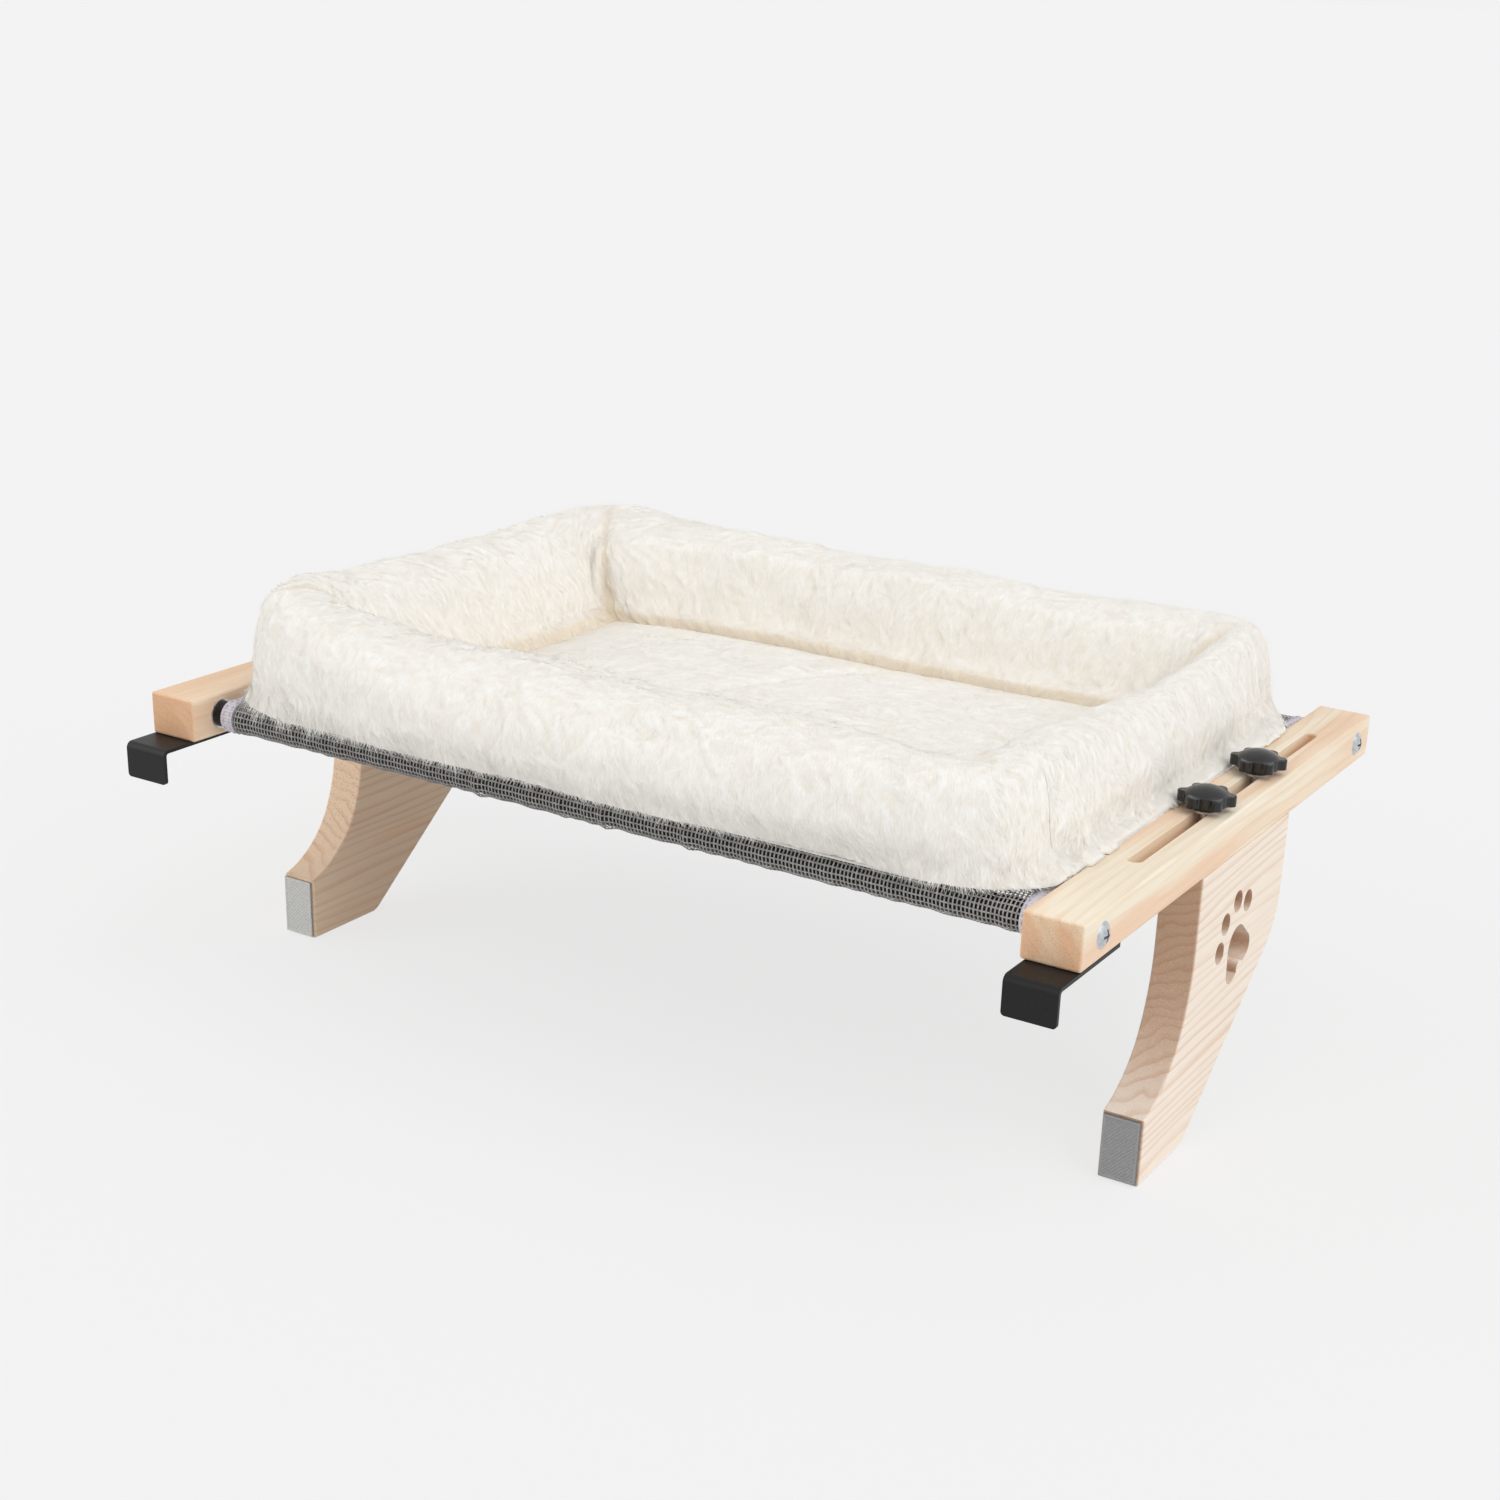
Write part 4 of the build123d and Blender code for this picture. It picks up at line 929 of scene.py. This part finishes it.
profile = smooth_section()
for which in ("front", "right", "rear", "left"):
    grid = []
    for inset, rise in profile:
        plan = rim_line(inset, which)
        grid.append(np.column_stack([plan, np.full(len(plan), rise)]))
    grid = np.array(grid).transpose(1, 0, 2) + rim_middle + [0, 0, front_low.z]
    low = np.clip(1 - (grid[..., 2] - front_low.z) / (0.45 * rim_height), 0, 1) ** 3
    beyond = np.clip((np.abs(grid[..., 0]) - rim_half_x + rim_width / 2) / (rim_width / 2), 0, 1)
    grid[..., 0] += np.sign(grid[..., 0]) * (side_spread * low - side_draw * (1 - low)) * beyond
    soft_corner = np.array([front_low.x, front_low.y]) + 16 * mm
    off_corner = np.linalg.norm(grid[..., :2] - soft_corner, axis=-1)
    raised = (grid[..., 2:] - front_low.z) / rim_height
    give = soft_corner_give * np.concatenate([raised * 0 + 1, raised * 0 + 1, raised], axis=-1)
    grid = grid + give * hump(off_corner, 0, soft_corner_reach)[..., None]
    off_corner = np.linalg.norm(grid[..., :2] - (np.array([rear_high.x, rear_high.y]) - 16 * mm), axis=-1)
    grid = grid - round_corner_draw * raised * hump(off_corner, 0, round_corner_reach)[..., None]
    leftward = np.clip((-grid[..., 0] - rim_half_x / 2) / (rim_half_x / 2), 0, 1)
    grid[..., 2] += left_rise * leftward * raised[..., 0]
    grid = stuff(grid, closing_faces(*grid.shape[:2]), puff)
    # Down to the tufts of the pile
    longest = np.linalg.norm(np.diff(grid, axis=0), axis=-1).sum(0).max()
    deepest = np.linalg.norm(np.diff(grid, axis=1), axis=-1).sum(1).max()
    grid = refine(refine(grid, 0, round(longest / pile_step)), 1, round(deepest / pile_step))
    normals = surface_normals(grid)
    swell = 1.4 * mm * ripple(grid, 90 * mm, 3) + 0.7 * mm * ripple(grid, 32 * mm, 4)
    # Shallow upright dents, about 20 mm apart, where the stuffing is thin
    swell -= 0.5 * mm * np.maximum(0, ripple(grid * [1, 1, 0.25], 22 * mm, 5))
    # A pleat runs up each inner corner, where the two walls' plush meets
    inner_x = np.abs(grid[..., 0] - rim_middle[0]) - (rim_half_x - rim_width)
    inner_y = np.abs(grid[..., 1] - rim_middle[1]) - (rim_half_y - rim_width)
    off_diagonal = (inner_x - inner_y) * math.sqrt(0.5)
    on_inner_wall = np.clip(1 - np.maximum(inner_x, inner_y) / (45 * mm), 0, 1) ** 0.5
    pleat = hump(off_diagonal, 0, pleat_half_width) * on_inner_wall
    grid = lie_askew(grid + normals * (swell - pleat_depth * pleat)[..., None])
    normals = surface_normals(grid)
    flow = swirled(grid, normals, comb_rim)
    stand = pile_stand(grid, flow)
    grid = clear_of_frame(grid + normals * (tuft_height * stand)[..., None])
    grid[..., 2] = np.maximum(grid[..., 2], front_low.z)
    columns, rows = grid.shape[:2]
    closing = closing_faces(columns, rows)
    bolster = build(f"bed_{which}_rim", grid.reshape(-1, 3), [*grid_faces(columns, rows).tolist(), *closing], plush)
    for face in bolster.data.polygons[-len(closing):]:
        face.use_smooth = False
    run, drop = np.meshgrid(np.arange(columns) * pile_step, np.arange(rows) * pile_step, indexing="ij")
    # Painted shade: creamier low on the inner walls, in the pleats, and most so where the wall meets the floor
    up_from_foot = (grid[..., 2] - front_low.z) / mm
    inner_wall = (drop > rows * pile_step / 2) * np.clip(1 - up_from_foot / 45, 0, 1)
    fold_painted_shade = np.exp(-((up_from_foot - 6) / 1.5).clip(0)) * (drop > rows * pile_step / 2)
    painted_shade_share = np.clip(0.12 * inner_wall + 0.45 * fold_painted_shade + 0.5 * pleat, 0, 0.8)
    tell_pile(bolster.data, np.stack([run, drop, run * 0], axis=-1), stand, painted_shade_share)
    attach(bolster, "bed")
    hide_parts(f"bed_{which}_bolster")
    # The hairs are thickest along the outer foot, where they hang over the sleeve, and longest at its left end
    outer_foot = (up_from_foot < 14) & (drop < rows * pile_step / 2)
    shaggy = outer_foot * np.clip(-(grid[..., 0] + 60 * mm) / (120 * mm), 0, 1)
    density = np.where(normals[..., 2] < -0.75, 0, np.where(outer_foot, 1.2 - 0.5 * shaggy, 0.42)) / mm ** 2
    length = 4.6 * mm + 3.5 * mm * shaggy
    grow_hairs(f"bed_{which}_rim_hairs", grid, painted_shade_share, density, length, 1.3, comb_rim,
               lambda tips: clear_of_frame(tips, over_rail=0))


# Floor cushion. A thin pad of the same plush, with a shorter, flatter pile, sewn in between the
# bolsters. It is crowned, and two soft creases cross it where it was folded for packing.

cushion_low, cushion_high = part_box("bed_floor_cushion")
cushion_step = 7 * mm
half_length, half_depth = (cushion_high.x - cushion_low.x) / 2, (cushion_high.y - cushion_low.y) / 2


def crowned(columns, rows):
    """Shares of the cushion's half length and half depth over a grid, and how full it is there."""
    u, v = np.meshgrid(np.linspace(-1, 1, columns), np.linspace(-1, 1, rows), indexing="ij")
    return u, v, (1 - np.abs(u) ** 6) * (1 - np.abs(v) ** 5)


u, v, crown = crowned(round(2 * half_length / cushion_step), round(2 * half_depth / cushion_step))
cushion_grid = np.stack([
    (cushion_low.x + cushion_high.x) / 2 + u * half_length,
    (cushion_low.y + cushion_high.y) / 2 + v * half_depth,
    cushion_low.z + (cushion_high.z - slack - cushion_low.z) * crown ** 0.25,
], axis=-1)


# One face, turned downwards, closes the cushion below
cushion_grid = stuff(cushion_grid, [edge_of_grid(*u.shape)[::-1]], puff)
cushion_grid = refine(refine(cushion_grid, 0, round(2 * half_length / pile_step)), 1,
                      round(2 * half_depth / pile_step))
u, v, crown = crowned(*cushion_grid.shape[:2])
undulate = 1.2 * mm * ripple(cushion_grid, 85 * mm, 21) + 0.6 * mm * ripple(cushion_grid, 28 * mm, 22)
# Ends of the creases as shares of the cushion's half length and half depth
for start, end in (((-0.4, -1.0), (0.12, 1.0)), ((0.24, 1.0), (1.0, -0.12))):
    ax, ay, bx, by = start[0] * half_length, start[1] * half_depth, end[0] * half_length, end[1] * half_depth
    off_line = ((bx - ax) * (v * half_depth - ay) - (by - ay) * (u * half_length - ax)) / math.hypot(bx - ax, by - ay)
    undulate = undulate - 2.5 * mm * hump(off_line, 0, 5 * mm)
cushion_grid[..., 2] += undulate * crown


def comb_floor(points, normals):
    """The pile on the floor lies every way, in swirls about 60 mm wide."""
    angle = 2.2 * ripple(points, 60 * mm, 31)
    return np.stack([np.cos(angle), np.sin(angle), np.zeros(angle.shape)], axis=-1)


cushion_grid = lie_askew(cushion_grid)
cushion_normals = surface_normals(cushion_grid)
flow = swirled(cushion_grid, cushion_normals, comb_floor)
stand = pile_stand(cushion_grid, flow)
cushion_grid = cushion_grid + cushion_normals * (tuft_height * stand * crown)[..., None]
cushion_grid[..., 2] = np.maximum(cushion_grid[..., 2], cushion_low.z)
columns, rows = u.shape
cushion = build("bed_floor_pad", cushion_grid.reshape(-1, 3),
                [*grid_faces(columns, rows).tolist(), edge_of_grid(columns, rows)[::-1]], plush)
# Painted shade: darker cream towards the cushion's edges, where it meets the walls
painted_shade_share = np.clip(0.6 * (1 - crown ** 0.5) ** 2, 0, 0.6)
tell_pile(cushion.data, cushion_grid * [1, 1, 0], stand, painted_shade_share)
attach(cushion, "bed")
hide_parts("bed_floor_cushion")
density = np.full(u.shape, 0.38 / mm ** 2)
length = np.full(u.shape, 3.8 * mm)
grow_hairs("bed_floor_hairs", cushion_grid, painted_shade_share, density, length, 1.36, comb_floor, clear_of_frame)


# Studio. A pale floor under a plain pale sky, lit softly from the right and above, with the
# camera at the photograph's place: above the front right corner, with a long lens.

sky_grey = "#f2f2f2"
floor_grey = "#f5f5f5"
shade_share = 0.2
floor_reach = 60.0


def shown_plain(tree, lit, output, grey, share):
    """Where a picture sees this shader straight, in a gloss or through glass, a share of it is a plain grey."""
    seen = add(tree, "ShaderNodeLightPath")
    glossy = add(tree, "ShaderNodeMath", {0: seen.outputs["Is Camera Ray"], 1: seen.outputs["Is Glossy Ray"]},
                 operation="MAXIMUM")
    either = add(tree, "ShaderNodeMath", {0: glossy.outputs[0], 1: seen.outputs["Is Transmission Ray"]},
                 operation="MAXIMUM")
    kind = "ShaderNodeEmission" if output == "Material Output" else "ShaderNodeBackground"
    plain = add(tree, kind, {"Color": linear(grey), "Strength": 1.0})
    amount = add(tree, "ShaderNodeMath", {0: either.outputs[0], 1: share}, operation="MULTIPLY")
    mixed = add(tree, "ShaderNodeMixShader", {0: amount.outputs[0], 1: lit, 2: plain.outputs[0]})
    tree.links.new(mixed.outputs[0], tree.nodes[output].inputs["Surface"])


leg_low, leg_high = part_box("right_leg")
floor_z = leg_low.z - 0.5 * mm
# Matt paper with no gloss at all, so that only the object's soft shadow shows on it
paper, tree, shader = start_material("studio_floor_paper", Roughness=0.9, Specular_IOR_Level=0.0)
shader.inputs["Base Color"].default_value = linear("#eeeeee")
shown_plain(tree, shader.outputs[0], "Material Output", floor_grey, 1 - shade_share)
floor = build("studio_floor", [
    (-floor_reach, -floor_reach, floor_z), (floor_reach, -floor_reach, floor_z),
    (floor_reach, floor_reach, floor_z), (-floor_reach, floor_reach, floor_z),
], [(0, 1, 2, 3)], paper)

world = bpy.data.worlds.new("studio_sky")
bpy.context.scene.world = world
world.use_nodes = True
sky = world.node_tree
lit = sky.nodes["Background"]
lit.inputs["Color"].default_value = (1, 1, 1, 1)
lit.inputs["Strength"].default_value = 0.55
shown_plain(sky, lit.outputs[0], "World Output", sky_grey, 1.0)

for lamp_name, towards, strength, spread in (
    ("key_light", (-0.68, 0.12, -0.72), 1.3, 60),
    ("fill_light", (0.8, 0.5, -0.36), 0.9, 60),
):
    lamp = bpy.data.lights.new(lamp_name, "SUN")
    lamp.energy = strength
    lamp.angle = math.radians(spread)
    lamp_object = put(lamp_name, lamp)
    lamp_object.rotation_mode = "QUATERNION"
    lamp_object.rotation_quaternion = Vector(towards).to_track_quat("-Z", "Y")

picture_pixels = 1500
focal_pixels = 2344.5
lens_axis_pixel = (850, 900)
camera_place = Vector((640.8, -843.4, 405.6)) * mm
camera_azimuth = math.radians(29.21)
camera_elevation = math.radians(21.89)
camera_roll = math.radians(2.71)
sensor_mm = 36

camera_data = bpy.data.cameras.new("camera")
camera_data.sensor_width = sensor_mm
camera_data.lens = focal_pixels / picture_pixels * sensor_mm
camera_data.shift_x = 0.5 - lens_axis_pixel[0] / picture_pixels
camera_data.shift_y = lens_axis_pixel[1] / picture_pixels - 0.5
camera_data.clip_end = 200
camera = put("camera", camera_data)
camera.location = camera_place
ahead = Vector((
    -math.sin(camera_azimuth) * math.cos(camera_elevation),
    math.cos(camera_azimuth) * math.cos(camera_elevation),
    -math.sin(camera_elevation),
))
level = ahead.to_track_quat("-Z", "Y")
camera.rotation_mode = "QUATERNION"
camera.rotation_quaternion = level @ Quaternion((0, 0, 1), camera_roll)
bpy.context.scene.camera = camera
bpy.context.scene.view_settings.view_transform = "Standard"
